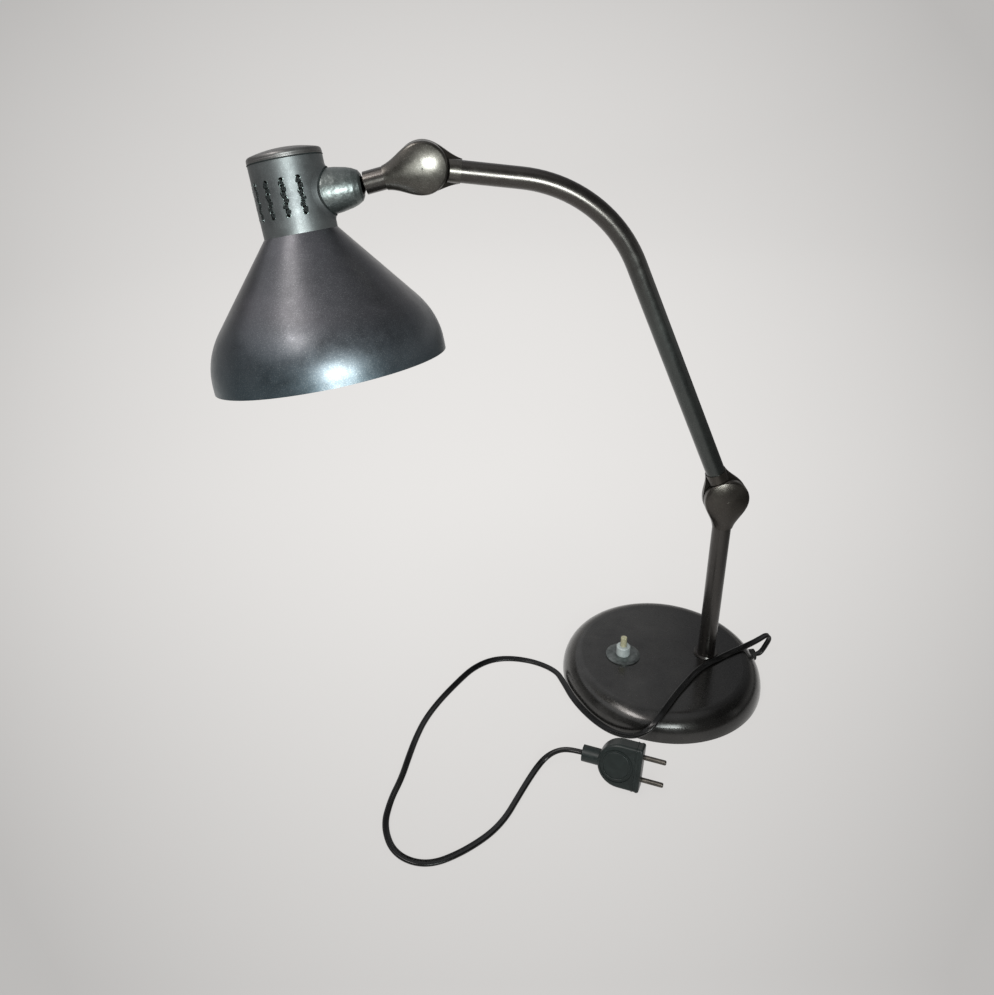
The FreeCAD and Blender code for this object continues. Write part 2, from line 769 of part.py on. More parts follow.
def build_arm():
    """Bent arm tube and the four half knuckles with their pivots."""
    outside = arm_sweep(tube_radius, sleeve_length, sleeve_length)
    inside = arm_sweep(tube_bore, sleeve_length, sleeve_length)
    keep("arm_tube", outside.cut(inside))
    down = Z * -1
    halves = (("elbow_knuckle_stem", elbow, down, -1, front_gap, spigot_length, True),
              ("elbow_knuckle_arm", elbow, lower_arm_way, 1, back_gap, spigot_length, False),
              ("wrist_knuckle_arm", wrist, upper_arm_way, 1, back_gap, spigot_length, False),
              ("wrist_knuckle_neck", wrist, neck_way, -1, front_gap, neck_spigot_length, True))
    for name, centre, way, side, gap, spigot, threaded in halves:
        half = knuckle(way, side, gap, spigot, threaded)
        half.translate(centre)
        keep(name, half)
    pivot("elbow", elbow)
    pivot("wrist", wrist)


def build_neck():
    """Neck tube with its end wall, the ball stud that swivels in it and the stud's nut."""
    end = ball_distance - neck_gap
    wall_start = end - neck_end_wall
    neck = rod(neck_tube_radius, sleeve_length, end)
    neck = neck.cut([rod(tube_bore, sleeve_length - overlap, wall_start),
                     rod(stud_radius + running_clearance, wall_start - overlap, end + overlap)])
    place = frame(wrist, Y, neck_way)
    keep("neck_tube", put(neck, place))

    shoulder = wall_start - stud_shoulder
    stud = rod(stud_radius, shoulder, ball_distance)
    stud = stud.fuse(rod(stud_thread_radius, shoulder - stud_thread_length, shoulder))
    sphere = Part.makeSphere(ball_radius, Vector(0, 0, ball_distance))
    stud = stud.fuse(sphere).cut(rod(stud_bore, shoulder - cut_margin, ball_distance + far_past))
    keep("ball_stud", put(stud.removeSplitter(), place))
    nut = ring(swivel_nut_radius, stud_thread_radius, shoulder - swivel_nut_thickness, shoulder)
    keep("swivel_nut", put(nut, place))


head_turn = FreeCAD.Rotation(Y, head_pitch).multiply(FreeCAD.Rotation(X, head_roll))
head_centre = Vector(head_x, 0, head_z)
head_place = FreeCAD.Placement(head_centre, head_turn)
# Frame whose z runs down the head's axis, so that heights are distances down from the collar
down_place = head_place.multiply(FreeCAD.Placement(Vector(0, 0, 0), FreeCAD.Rotation(X, 180)))
# Frame whose z runs out along the collar's axis
collar_place = head_place.multiply(FreeCAD.Placement(Vector(0, 0, 0), FreeCAD.Rotation(Y, 90)))


def build_collar():
    """Ball socket on the side of the cap, with its seat, base tube, saddle and nut."""
    cap_outside = Part.makeCylinder(cap_radius + wall_contact, 2 * far_past, Vector(-far_past, 0, 0), X)
    root = collar_root - collar_root_depth
    outline = [(0, root), (collar_outline[0][0], root)] + list(collar_outline)
    outline += [(collar_lip_radius, collar_mouth), (0, collar_mouth)]
    outside = turned_points(outline)
    hollow = rod(ball_radius + ball_clearance, collar_root - collar_hollow_depth, ball_centre)
    hollow = hollow.fuse(Part.makeSphere(ball_radius + ball_clearance, Vector(0, 0, ball_centre)))
    hollow = hollow.fuse(rod(mouth_radius, ball_centre, collar_mouth + overlap))
    keep("ball_socket", put(outside.cut([hollow, cap_outside]), collar_place))

    base_outer = ball_radius + ball_clearance - thread_clearance
    base = ring(base_outer, stud_radius, collar_base_start, collar_base_end)
    keep("collar_base", put(base, collar_place))
    seat = ring(base_outer, stud_radius, collar_base_end, seat_front)
    seat = seat.cut(Part.makeSphere(ball_radius + ball_clearance, Vector(0, 0, ball_centre)))
    keep("ball_seat", put(seat, collar_place))

    wall_radius = cap_radius - cap_wall
    wall_inside = Part.makeCylinder(wall_radius - wall_contact, 2 * far_past, Vector(-far_past, 0, 0), X)
    flat = math.sqrt(wall_radius ** 2 - collar_nut_outer ** 2) - saddle_flat_margin
    saddle = ring(collar_nut_outer, base_outer + thread_clearance, flat, cap_radius + saddle_rise)
    saddle = saddle.common(wall_inside)
    keep("collar_saddle", put(saddle, collar_place))
    nut = ring(collar_nut_outer, base_outer + thread_clearance, flat - collar_nut_depth, flat)
    keep("collar_nut", put(nut, collar_place))


def build_cap():
    """Vented cap and its lid."""
    inner = cap_radius - cap_wall
    outline = [(cap_radius, cap_top), (cap_radius, cap_bottom), (inner, cap_bottom),
               (inner, bead_bottom + bead_step),
               (bead_radius, bead_bottom), (bead_radius, bead_top), (inner, bead_top), (inner, cap_top)]
    shell = turned_points(outline)
    collar_hole = Part.makeCylinder(ball_radius + ball_clearance, 2 * cap_radius, Vector(overlap, 0, 0), X)
    cells = []
    for angle in vent_columns:
        for cell in range(vent_cells):
            down = vent_first + cell * vent_pitch
            hole = Part.makeCylinder(vent_radius, 2 * cut_margin, Vector(inner - cut_margin, 0, down), X)
            hole.rotate(Vector(0, 0, 0), Z, -angle)
            cells.append(hole)
    keep("cap_shell", put(shell.cut([collar_hole] + cells), down_place))

    # Lid: skirt inside the cap, short rim and a low dome, heights up the head's axis
    rim = -lid_rim_top
    seam = -cap_top
    skirt_end = -lid_skirt_bottom
    skirt = inner - lid_skirt_clearance
    outline = edges_between([(0, rim + lid_dome_height - lid_wall), (0, rim + lid_dome_height)])
    outline += half_arch(rim, cap_radius, lid_dome_height, lid_rounding)
    outline += half_arch(rim, skirt - lid_wall, lid_dome_height - lid_wall, lid_rounding - lid_wall / 2)
    outline += edges_between([(cap_radius, rim), (cap_radius, seam), (skirt, seam), (skirt, skirt_end),
                              (skirt - lid_wall, skirt_end), (skirt - lid_wall, rim)])
    keep("cap_lid", put(turned(outline), head_place))


def shade_outline(offset):
    """Edges of the shade's side from the neck to the rim, moved inwards by an offset."""
    slope = Vector(shade_cone_radius - cap_radius, 0, shade_cone_bottom - cap_bottom)
    inward = Vector(-slope.z, 0, slope.x).normalize() * offset
    neck = Vector(cap_radius, 0, cap_bottom) + inward
    knee = Vector(shade_cone_radius, 0, shade_cone_bottom) + inward
    skirt = shade_skirt_radius - offset
    corner = knee + slope * ((skirt - knee.x) / slope.x)
    end = Vector(skirt, 0, shade_curve_bottom)
    curve = Part.BezierCurve()
    curve.setPoles([knee, corner, end])
    rim = Vector(skirt, 0, shade_rim)
    return neck, rim, [Part.makeLine(neck, knee), curve.toShape(), Part.makeLine(end, rim)]


def build_shade():
    """Thin spun shade with an inward flange that is clamped on the lampholder."""
    outer_neck, outer_rim, outside = shade_outline(0.0)
    inner_neck, inner_rim, inside = shade_outline(shade_wall)
    flange_bottom = cap_bottom + shade_wall
    step = (flange_bottom - inner_neck.z) / (shade_cone_bottom - cap_bottom)
    slope = Vector(shade_cone_radius - cap_radius, 0, shade_cone_bottom - cap_bottom)
    inner_start = inner_neck + slope * step
    knee = inside[0].Vertexes[-1].Point
    outline = outside + inside[1:] + [Part.makeLine(outer_rim, inner_rim), Part.makeLine(inner_start, knee)]
    outline += edges_between([(outer_neck.x, cap_bottom), (shade_hole, cap_bottom),
                              (shade_hole, flange_bottom), (inner_start.x, flange_bottom)])
    keep("shade", put(turned(outline), down_place))


def build_lampholder():
    """Bridge, nipple, lampholder, shade ring and bulb, all on the head's axis."""
    bridge_top = bead_top - bridge_thickness
    bridge_radius = cap_radius - cap_wall - bridge_clearance
    bar_x = box(-bridge_radius, bridge_radius, -bridge_bar, bridge_bar, bridge_top, bead_top)
    bar_y = box(-bridge_bar, bridge_bar, -bridge_radius, bridge_radius, bridge_top, bead_top)
    bridge = rod(bridge_radius, bridge_top, bead_top).common(bar_x.fuse(bar_y))
    thread = rod(nipple_radius + thread_clearance, bridge_top - overlap, bead_top + overlap)
    keep("holder_bridge", put(bridge.cut(thread), down_place))
    keep("nipple", put(ring(nipple_radius, nipple_bore, nipple_top, bead_top + nipple_reach), down_place))
    nut_top = bridge_top - nipple_nut_thickness
    nut = ring(nipple_nut_radius, nipple_radius + thread_clearance, nut_top, bridge_top)
    keep("nipple_nut", put(nut, down_place))

    cap_in = holder_cap_radius - holder_wall
    shoulder_in = holder_shoulder + holder_corner
    outline = [(nipple_radius + thread_clearance, bead_top), (holder_cap_radius - holder_shoulder, bead_top),
               (holder_cap_radius, bead_top + holder_shoulder), (holder_cap_radius, holder_split),
               (cap_in, holder_split), (cap_in, bead_top + shoulder_in),
               (holder_cap_radius - shoulder_in, bead_top + holder_wall),
               (nipple_radius + thread_clearance, bead_top + holder_wall)]
    keep("lampholder_cap", put(turned_points(outline), down_place))

    flange_top = cap_bottom - holder_flange_thickness
    outline = [(holder_bore, holder_split), (holder_radius, holder_split), (holder_radius, flange_top),
               (holder_flange_radius, flange_top), (holder_flange_radius, cap_bottom),
               (holder_radius, cap_bottom), (holder_radius, holder_bottom), (holder_bore, holder_bottom)]
    keep("lampholder_body", put(turned_points(outline), down_place))
    ring_top = cap_bottom + shade_wall
    keep("shade_ring", put(ring(shade_ring_radius, holder_radius + thread_clearance, ring_top,
                                ring_top + shade_ring_height), down_place))

    insulator = rod(insulator_radius, holder_split, holder_split + insulator_thickness)
    contact_top = holder_split + insulator_thickness
    lead_hole = rod(lead_bore, holder_split - overlap, contact_top + overlap, contact_lead, 0)
    keep("lampholder_insulator", put(insulator.cut(lead_hole), down_place))
    keep("centre_contact", put(rod(contact_radius, contact_top, contact_top + contact_height), down_place))

    bulb_start = contact_top + contact_height
    cap_end = bulb_start + bulb_cap_length
    tip = bulb_start + bulb_length
    globe = tip - bulb_glass_radius
    outline = [(0, bulb_start), (contact_radius + bulb_cap_tip, bulb_start),
               (bulb_cap_radius, bulb_start + bulb_cap_taper), (bulb_cap_radius, cap_end), (0, cap_end)]
    keep("bulb_cap", put(turned_points(outline), down_place))
    keep("bulb_glass", put(bulb_glass(cap_end, globe), down_place))


def bulb_glass(cap_end, globe):
    """Hollow glass bulb: a neck, a curve that widens and most of a sphere."""
    def side(radius_cut):
        sphere = bulb_glass_radius - radius_cut
        neck = bulb_cap_radius - bulb_neck_clearance - radius_cut
        join_angle = math.radians(bulb_join_angle)
        join = Vector(sphere * math.cos(join_angle), 0, globe - sphere * math.sin(join_angle))
        way = Vector(math.sin(join_angle), 0, math.cos(join_angle))
        start = Vector(neck, 0, cap_end)
        curve = Part.BezierCurve()
        curve.setPoles([start, start + Z * bulb_neck_pull, join - way * bulb_globe_pull, join])
        tip = Vector(0, 0, globe + sphere)
        middle_angle = math.radians(bulb_middle_angle)
        middle = Vector(sphere * math.cos(middle_angle), 0, globe + sphere * math.sin(middle_angle))
        return start, tip, [curve.toShape(), Part.Arc(join, middle, tip).toShape()]

    outer_start, outer_tip, outer = side(0.0)
    inner_start, inner_tip, inner = side(bulb_wall)
    ends = [Part.makeLine(outer_start, inner_start), Part.makeLine(outer_tip, inner_tip)]
    return turned(outer + inner + ends)


turn = math.radians(plug_turn)
lean = math.radians(plug_lean)
plug_along = Vector(math.cos(turn), math.sin(turn), 0)
plug_side = Vector(math.sin(turn), -math.cos(turn), 0)
plug_normal = plug_side * math.cos(lean) + Z * math.sin(lean)
plug_face_centre = Vector(plug_x, plug_y, plug_z)
plug_place = frame(plug_face_centre, plug_along, plug_normal)


def build_plug():
    """Flat two-pin plug. In its frame x points out of the face, y runs from pin to pin and
    z is square to the broad side."""
    half_width = plug_width / 2
    half_depth = plug_depth / 2
    straight = box(-plug_shoulder, -plug_face_thickness, -half_width, half_width, -half_depth, half_depth)
    back = Part.makeCylinder(half_width, plug_depth, Vector(-plug_shoulder, 0, -half_depth))
    behind = box(-far_past, -plug_shoulder, -far_past, far_past, -far_past, far_past)
    body = straight.fuse(back.common(behind)).removeSplitter()
    outside = [e for e in body.Edges if edge_is_rim(e, half_depth)]
    body = body.makeFillet(plug_edge, outside)
    stub = Part.makeCylinder(plug_stub_radius, plug_stub_end - plug_shoulder, Vector(-plug_stub_end, 0, 0), X)
    groove = ring(plug_groove_radius + plug_groove_width / 2, plug_groove_radius - plug_groove_width / 2,
                  half_depth - plug_groove_depth, half_depth + overlap)
    groove.translate(Vector(-plug_groove_back, 0, 0))
    pins = []
    sockets = []
    for side in (-0.5, 0.5):
        pin = Part.makeCylinder(pin_radius, pin_length + pin_root, Vector(-pin_root, side * pin_pitch, 0), X)
        tip = [e for e in pin.Edges if e.BoundBox.XMin > pin_length - overlap]
        pins.append(pin.makeFillet(pin_rounding, tip))
        sockets.append(Part.makeCylinder(pin_radius, far_past, Vector(-pin_root, side * pin_pitch, 0), X))
    body = body.fuse(stub).cut([groove] + sockets)
    keep("plug_body", put(body.removeSplitter(), plug_place))
    face = box(-plug_face_thickness, 0, -half_width, half_width, -half_depth, half_depth)
    face_edges = [e for e in face.Edges if abs(e.BoundBox.XLength - plug_face_thickness) < 0.01]
    face = face.makeFillet(plug_edge, face_edges)
    keep("plug_face", put(face.cut(sockets), plug_place))
    keep("plug_pins", put(Part.makeCompound(pins), plug_place))


def edge_is_rim(edge, half_depth):
    """True for the plug's long outer edges on its two broad sides, apart from the face end."""
    bounds = edge.BoundBox
    flat = bounds.ZLength < 0.01
    at_side = abs(abs(bounds.ZMin) - half_depth) < 0.01
    at_face = bounds.XMin > -plug_face_thickness - 0.01
    return flat and at_side and not at_face


def build_leads():
    """Leads inside: along the base, up the stem, through the arm and the neck."""
    straight_end = clamp_distance - clamp_length / 2 - lead_clamp_gap
    first = cord_out * straight_end + Z * cord_height
    second = cord_out * lead_turn + Z * cord_height
    end_x = switch_x + switch_body_radius
    pass_x, pass_y = lead_nut_pass
    route = [tuple(first), tuple(second), (stem_x + pass_x, stem_nut_radius + pass_y, cord_height)]
    route += [(x, y, cord_height) for x, y in base_lead_points]
    route.append((end_x, base_lead_end_y, cord_height))
    lead = routed_tube("lead_base", route, base_lead_radius)
    lead = lead.fuse(radial_rod(base_lead_radius, straight_end, grommet_inner))
    keep("lead_base", lead)

    start = chamber_inner + lead_start
    low = plate_top + base_lead_radius + stem_lead_gap
    rise_x, rise_y, rise = stem_lead_rise
    foot_x, foot_y, foot_rise = stem_lead_foot
    route = [(end_x, stem_lead_start_y, cord_height)]
    route += [(x, y, low + lift) for x, y, lift in stem_lead_points]
    route.append((stem_x - rise_x, -lead_offset - rise_y, low + rise))
    route.append((stem_x - foot_x, -lead_offset - foot_y, low + foot_rise))
    route.append((stem_x, -lead_offset, stem_lead_straight))
    lower = routed_tube("lead_stem", route, base_lead_radius)
    upper = rod(base_lead_radius, stem_lead_straight, elbow_z - start, stem_x, -lead_offset)
    keep("lead_stem", lower.fuse(upper))

    keep("lead_arm", arm_sweep(lead_radius, start, start, lead_offset))

    route = [(0, lead_offset, start), (0, lead_offset, neck_lead_side)]
    route += [(0, neck_lead_middle_offset, neck_lead_middle), (0, 0, ball_distance + lead_neck_end)]
    place = frame(wrist, neck_way.cross(Y), neck_way)
    keep("lead_neck", put(routed_tube("lead_neck", route, base_lead_radius), place))


def build_cord():
    """Mains cord from the grommet to the plug's stub, its route spread and lifted with the base."""
    spread = base_radius / cord_base_radius
    lift = base_height / cord_base_height
    start = cord_out * grommet_outer + Z * cord_height
    end = plug_face_centre - plug_along * plug_stub_end
    route = [tuple(start)]
    for x, y, z in cord_points:
        route.append((x * spread, y * spread, cord_floor_height + (z - cord_floor_height) * lift))
    route.append(tuple(end))
    keep("mains_cord", routed_tube("mains_cord", route, cord_radius))


build_base()
build_stem()
build_switch()
build_entry()
build_arm()
build_neck()
build_collar()
build_cap()
build_shade()
build_lampholder()
build_plug()
build_leads()
build_cord()

os.makedirs("parts", exist_ok=True)
for name, shape in shapes.items():
    if not shape.isValid():
        print("not valid:", name)
    shape.exportStep("parts/" + name + ".step")
print(len(shapes), "sub-parts")
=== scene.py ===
import math

import bmesh
import bpy
import numpy as np
from mathutils import Matrix


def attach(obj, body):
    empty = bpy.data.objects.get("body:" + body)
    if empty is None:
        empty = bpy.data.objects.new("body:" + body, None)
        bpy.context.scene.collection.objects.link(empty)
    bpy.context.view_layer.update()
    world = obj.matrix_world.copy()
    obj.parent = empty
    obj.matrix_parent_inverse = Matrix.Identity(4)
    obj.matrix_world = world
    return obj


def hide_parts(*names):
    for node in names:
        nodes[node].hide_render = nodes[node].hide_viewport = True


# A two-joint desk lamp in graphite metallic lacquer, with a flat twin flex and a moulded plug.
# It stands in the same frame as the CAD parts: origin in the middle of the base, +Z up, the stem
# on the +X side. Shapes are worked out in millimetres and stored in metres.

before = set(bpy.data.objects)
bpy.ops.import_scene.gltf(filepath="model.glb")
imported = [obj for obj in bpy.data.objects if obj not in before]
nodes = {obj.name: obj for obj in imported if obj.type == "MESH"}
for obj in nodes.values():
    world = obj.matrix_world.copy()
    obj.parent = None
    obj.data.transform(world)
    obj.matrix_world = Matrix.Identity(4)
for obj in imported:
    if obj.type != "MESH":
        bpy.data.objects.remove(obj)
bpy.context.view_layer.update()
MM = 0.001
desk_gap = 0.1  # what lies on the desk stays this far above it, in millimetres
weld_distance = 1e-7  # in metres
round_steps = 96  # points round a turned piece


def colour(hex_value):
    """sRGB hex turned to linear: below 0.04045 a twelfth of it, above that a power of 2.4."""
    srgb = np.array([(hex_value >> 16) & 255, (hex_value >> 8) & 255, hex_value & 255]) / 255
    linear = np.where(srgb <= 0.04045, srgb / 12.92, ((srgb + 0.055) / 1.055) ** 2.4)
    return (*linear.tolist(), 1.0)


# Camera of the photograph: place, downward tilt and roll, with a small shift of the film
film_width = 36.0
camera_place = (-0.17812, -0.63614, 0.55665)
camera_tilt = math.radians(25.828)
camera_roll = math.radians(-1.3627)
camera_lens = 30.785
camera_shift = (0.0289, -0.0545)

camera_data = bpy.data.cameras.new("camera")
camera_data.sensor_fit = "HORIZONTAL"
camera_data.sensor_width = film_width
camera_data.lens = camera_lens
camera_data.shift_x, camera_data.shift_y = camera_shift
camera = bpy.data.objects.new("camera", camera_data)
tilted = Matrix.Rotation(math.pi / 2 - camera_tilt, 4, "X")
rolled = Matrix.Rotation(camera_roll, 4, "Z")
camera.matrix_world = Matrix.Translation(camera_place) @ tilted @ rolled
bpy.context.scene.collection.objects.link(camera)
bpy.context.scene.camera = camera


def surface(name, points, close_rows=False, close_columns=False, weld=False, turn_round=False):
    """Quad mesh through a grid of points. A closed direction joins its last line to its first,
    weld merges the repeated points of a pole into one, and turn_round turns the faces over."""
    rows, columns = points.shape[:2]
    index = np.arange(rows * columns).reshape(rows, columns)
    if close_rows:
        index = np.vstack([index, index[:1]])
    if close_columns:
        index = np.hstack([index, index[:, :1]])
    corners = [index[:-1, :-1], index[1:, :-1], index[1:, 1:], index[:-1, 1:]]
    quads = np.stack(corners, axis=-1).reshape(-1, 4)
    if turn_round:
        quads = quads[:, ::-1]
    return mesh_object(name, points.reshape(-1, 3), quads, weld)


def mesh_object(name, points, quads, weld=False):
    """Smooth object at the origin from points in millimetres and quads of their numbers."""
    mesh = bpy.data.meshes.new(name)
    mesh.vertices.add(len(points))
    mesh.vertices.foreach_set("co", (points * MM).astype(np.float32).ravel())
    mesh.loops.add(quads.size)
    mesh.loops.foreach_set("vertex_index", quads.astype(np.int32).ravel())
    mesh.polygons.add(len(quads))
    mesh.polygons.foreach_set("loop_start", np.arange(0, quads.size, 4, dtype=np.int32))
    mesh.update(calc_edges=True)
    if weld:
        work = bmesh.new()
        work.from_mesh(mesh)
        bmesh.ops.remove_doubles(work, verts=work.verts, dist=weld_distance)
        work.to_mesh(mesh)
        work.free()
    mesh.polygons.foreach_set("use_smooth", np.ones(len(mesh.polygons), bool))
    made = bpy.data.objects.new(name, mesh)
    bpy.context.scene.collection.objects.link(made)
    return made


def placed(points, place):
    """Points in millimetres carried by a 4x4 placement: each is turned, then moved."""
    matrix = np.array(place)
    return points @ matrix[:3, :3].T + matrix[:3, 3]


def revolved(name, profile, place, steps=round_steps):
    """Closed outline of (radius, height) turned about Z: x = r cos t, y = r sin t, z = height."""
    turn = np.linspace(0, 2 * np.pi, steps, endpoint=False)
    radius, height = profile[:, 0], profile[:, 1]
    points = np.stack([np.outer(np.cos(turn), radius), np.outer(np.sin(turn), radius),
                       np.tile(height, (steps, 1))], axis=-1)
    return surface(name, placed(points, place), close_rows=True, close_columns=True,
                   turn_round=True)


# Flat twin mains flex: two round cores in one jacket, with a groove between them
flex_width = 5.5
flex_thickness = 3.2
groove_depth = 0.24  # share of the half thickness
groove_spread = 0.3  # cosine of the section's angle at which the groove fades
lobe_softness = 0.02
flex_steps = 36
# Where it leaves the base it is squeezed by this share, over this length
exit_squeeze = 0.2
exit_length = 5.0
# In the loop at the exit its line passes the vertical, so its broad side keeps one direction up to
# loop_length and turns level over the next stretch
loop_across = (-0.14, 0.99, 0.0)
loop_length = 24.0
loop_blend = 14.0
turn_window = 31  # samples over which its turn is smoothed

# The CAD cord's route in metres, lower wherever the flat flex lies on the desk or the base
cord_points = (
    (0.0936, 0.01315, 0.0080),
    (0.0976, 0.01371, 0.0080),
    (0.1010, 0.0148, 0.0102),
    (0.1038, 0.0159, 0.0146),
    (0.1064, 0.0170, 0.0194),
    (0.1080, 0.0176, 0.0230),
    (0.1069, 0.01715, 0.02725),
    (0.1030, 0.0155, 0.0290),
    (0.0979, 0.0134, 0.0273),
    (0.0895, 0.0096, 0.0254),
    (0.0775, 0.0032, 0.0250),
    (0.0645, -0.0030, 0.0246),
    (0.0515, -0.0107, 0.0245),
    (0.0380, -0.0183, 0.0245),
    (0.0260, -0.0280, 0.0246),
    (0.0140, -0.0412, 0.0246),
    (0.0020, -0.0550, 0.0245),
    (-0.0090, -0.0695, 0.0250),
    (-0.0195, -0.0835, 0.0246),
    (-0.0300, -0.0922, 0.0170),
    (-0.0430, -0.0895, 0.0075),
    (-0.0585, -0.0780, 0.0022),
    (-0.0740, -0.0615, 0.0027),
    (-0.0875, -0.0410, 0.0060),
    (-0.0938, -0.0175, 0.0054),
    (-0.0992, 0.0040, 0.0022),
    (-0.1235, 0.0205, 0.0017),
    (-0.1540, 0.0240, 0.0017),
    (-0.1770, 0.0120, 0.0020),
    (-0.1950, -0.0110, 0.0022),
    (-0.2110, -0.0345, 0.0020),
    (-0.2230, -0.0570, 0.0018),
    (-0.2305, -0.0800, 0.0018),
    (-0.2355, -0.1020, 0.0018),
    (-0.2400, -0.1240, 0.0019),
    (-0.2475, -0.1460, 0.0023),
    (-0.2510, -0.1710, 0.0026),
    (-0.2410, -0.1960, 0.0021),
    (-0.2165, -0.2060, 0.0017),
    (-0.1885, -0.1945, 0.0017),
    (-0.1600, -0.1725, 0.0018),
    (-0.1415, -0.1390, 0.0020),
    (-0.1290, -0.1180, 0.0026),
    (-0.1195, -0.1092, 0.0075),
    (-0.1095, -0.1088, 0.0145),
    (-0.0993, -0.1128, 0.01925),
    (-0.0896, -0.1167, 0.01925),
)
# Turn of the flex about its own line from lying flat: distance from the exit, degrees
flex_turns = (
    (0, 0), (34, 0), (52, 20), (66, 62), (78, 70), (96, 20), (125, 0), (165, 35), (195, 10),
    (232, 0), (275, 25), (300, 0), (360, 0), (395, 30), (430, 45), (470, 10), (520, 0),
    (560, 30), (590, 65), (615, 20), (650, 0), (715, 0), (760, 25), (800, 0), (850, 20),
)


def flex_line():
    """Points along a NURBS spline through the route, in millimetres."""
    curve = bpy.data.curves.new("flex_line", "CURVE")
    curve.dimensions = "3D"
    curve.resolution_u = 12
    spline = curve.splines.new("NURBS")
    spline.points.add(len(cord_points) - 1)
    spline.points.foreach_set("co", [value for point in cord_points for value in (*point, 1.0)])
    spline.order_u = 3
    spline.use_endpoint_u = True
    holder = bpy.data.objects.new("flex_line", curve)
    line = bpy.data.meshes.new_from_object(holder)
    points = np.zeros(len(line.vertices) * 3, np.float32)
    line.vertices.foreach_get("co", points)
    bpy.data.objects.remove(holder)
    bpy.data.curves.remove(curve)
    bpy.data.meshes.remove(line)
    return points.reshape(-1, 3).astype(float) / MM


def unit(vectors):
    """Vectors divided by their lengths."""
    return vectors / np.linalg.norm(vectors, axis=-1, keepdims=True)


def make_flex(line):
    """Flat twin flex along its line. Its section is a circle of radius r whose halves are pushed
    out from the middle: x = r cos a + (half width - r) c / sqrt(c^2 + softness), with c = cos a,
    and z = r sin a less a groove that fades as exp(-(c / spread)^2). Where the turned section
    would dip into the desk, the line is lifted until it just rests."""
    run = np.concatenate([[0], np.cumsum(np.linalg.norm(np.diff(line, axis=0), axis=1))])
    along = unit(np.gradient(line, run, axis=0))
    level = unit(np.cross(along, (0.0, 0.0, 1.0)))
    in_loop = np.tile(unit(np.array(loop_across)), (len(line), 1))
    share = np.clip((run[:, None] - loop_length) / loop_blend, 0, 1)
    across = in_loop * (1 - share) + level * share
    across = unit(across - along * np.sum(across * along, axis=1, keepdims=True))
    up = np.cross(across, along)

    turns = np.array(flex_turns, float)
    angle = np.radians(np.interp(run, turns[:, 0], turns[:, 1]))
    window = np.hanning(turn_window) / np.hanning(turn_window).sum()
    angle = np.convolve(np.pad(angle, turn_window // 2, mode="edge"), window, mode="valid")[:, None]
    wide = across * np.cos(angle) + up * np.sin(angle)
    thick = np.cross(wide, along)

    radius = flex_thickness / 2
    around = np.linspace(0, 2 * np.pi, flex_steps, endpoint=False)
    lobes = np.cos(around) / np.sqrt(np.cos(around) ** 2 + lobe_softness)
    groove = groove_depth * np.exp(-(np.cos(around) / groove_spread) ** 2)
    x = radius * np.cos(around) + (flex_width / 2 - radius) * lobes
    z = radius * np.sin(around) * (1 - groove)
    squeeze = 1 - exit_squeeze * np.clip(1 - run / exit_length, 0, 1)[:, None, None]
    section = squeeze * (wide[:, None] * x[None, :, None] + thick[:, None] * z[None, :, None])
    lowest = line[:, 2] + section[:, :, 2].min(axis=1)
    middle = line + np.outer(np.clip(desk_gap - lowest, 0, None), (0.0, 0.0, 1.0))
    ends = [np.repeat(middle[i][None, None], flex_steps, axis=1) for i in (0, -1)]
    points = np.concatenate([ends[0], middle[:, None] + section, ends[1]])
    flex = surface("mains_flex", points, close_columns=True, weld=True, turn_round=True)
    return flex, middle, run[-1]


mains_flex, flex_middle, flex_length = make_flex(flex_line())
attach(mains_flex, "base")
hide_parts("mains_cord")

# The head's axis leans, with its zero where the collar's axis crosses it. Seen up from there the
# collar points along +X; down_place looks the other way, down towards the shade's rim.
head_point = (-301.2, 0.0, 450.33)
head_lean = math.radians(-9.03)
head_roll = math.radians(-10.0)
head_place = (Matrix.Translation(head_point) @ Matrix.Rotation(head_lean, 4, "Y")
              @ Matrix.Rotation(head_roll, 4, "X"))
down_place = head_place @ Matrix.Rotation(math.pi, 4, "X")
cap_radius = 27.3

# Punched vents: columns by their angle from the collar in degrees, cells down each column
vent_columns = (-167.14, -141.43, -115.71, -90.0, -64.29, 64.29, 90.0, 115.71, 141.43, 167.14)
vent_cells = 7
vent_radius = 1.6
vent_pitch = 4.07
vent_first = -12.6
# Painted shade over the webs between the cells: flat dark ovals, moved aside in turn, with a
# wavering edge
web_radius = 1.95
web_tallness = 1.15
web_wander = 0.6
web_waver = 0.16
web_phase = 1.7  # from one web to the next
web_lift = 0.09
web_swell = 0.03
web_steps = (14, 4)
# Burrs beside the cells: a mean height and two waves round the cell, in shares of their width
burr_width = 0.42
burr_gap = 0.12
burr_waves = (0.3, 0.45, 0.35)
burr_phases = (2.1, 3.7)  # of the two waves, from one cell to the next
burr_even = 0.75  # share of the width that doesn't waver
burr_root = 0.2
burr_sink = 0.06
burr_steps = (16, 6)
# Swelling at the collar's root, and a dark line of painted shade in its joint
flare_inner = 17.2
flare_outer = 23.0
flare_height = 1.2
flare_sink = 0.15
flare_depth = 0.3
seam_bead = 0.5
# Dark line of painted shade in the lid's joint, and the lid's rolled edge: inset from the cap's
# side, bead, distance down
lid_gap_shade_ring = (0.15, 0.55, -26.8)
lid_edge_ring = (0.45, 0.6, -28.4)


def on_cap(turn, height, lift):
    """Points over the cap's side by turn about its axis, distance down it and lift off it."""
    radius = cap_radius + lift
    grid = np.broadcast_arrays(radius * np.cos(turn), radius * np.sin(turn), height)
    return placed(np.stack(grid, axis=-1).reshape(-1, 3), down_place)


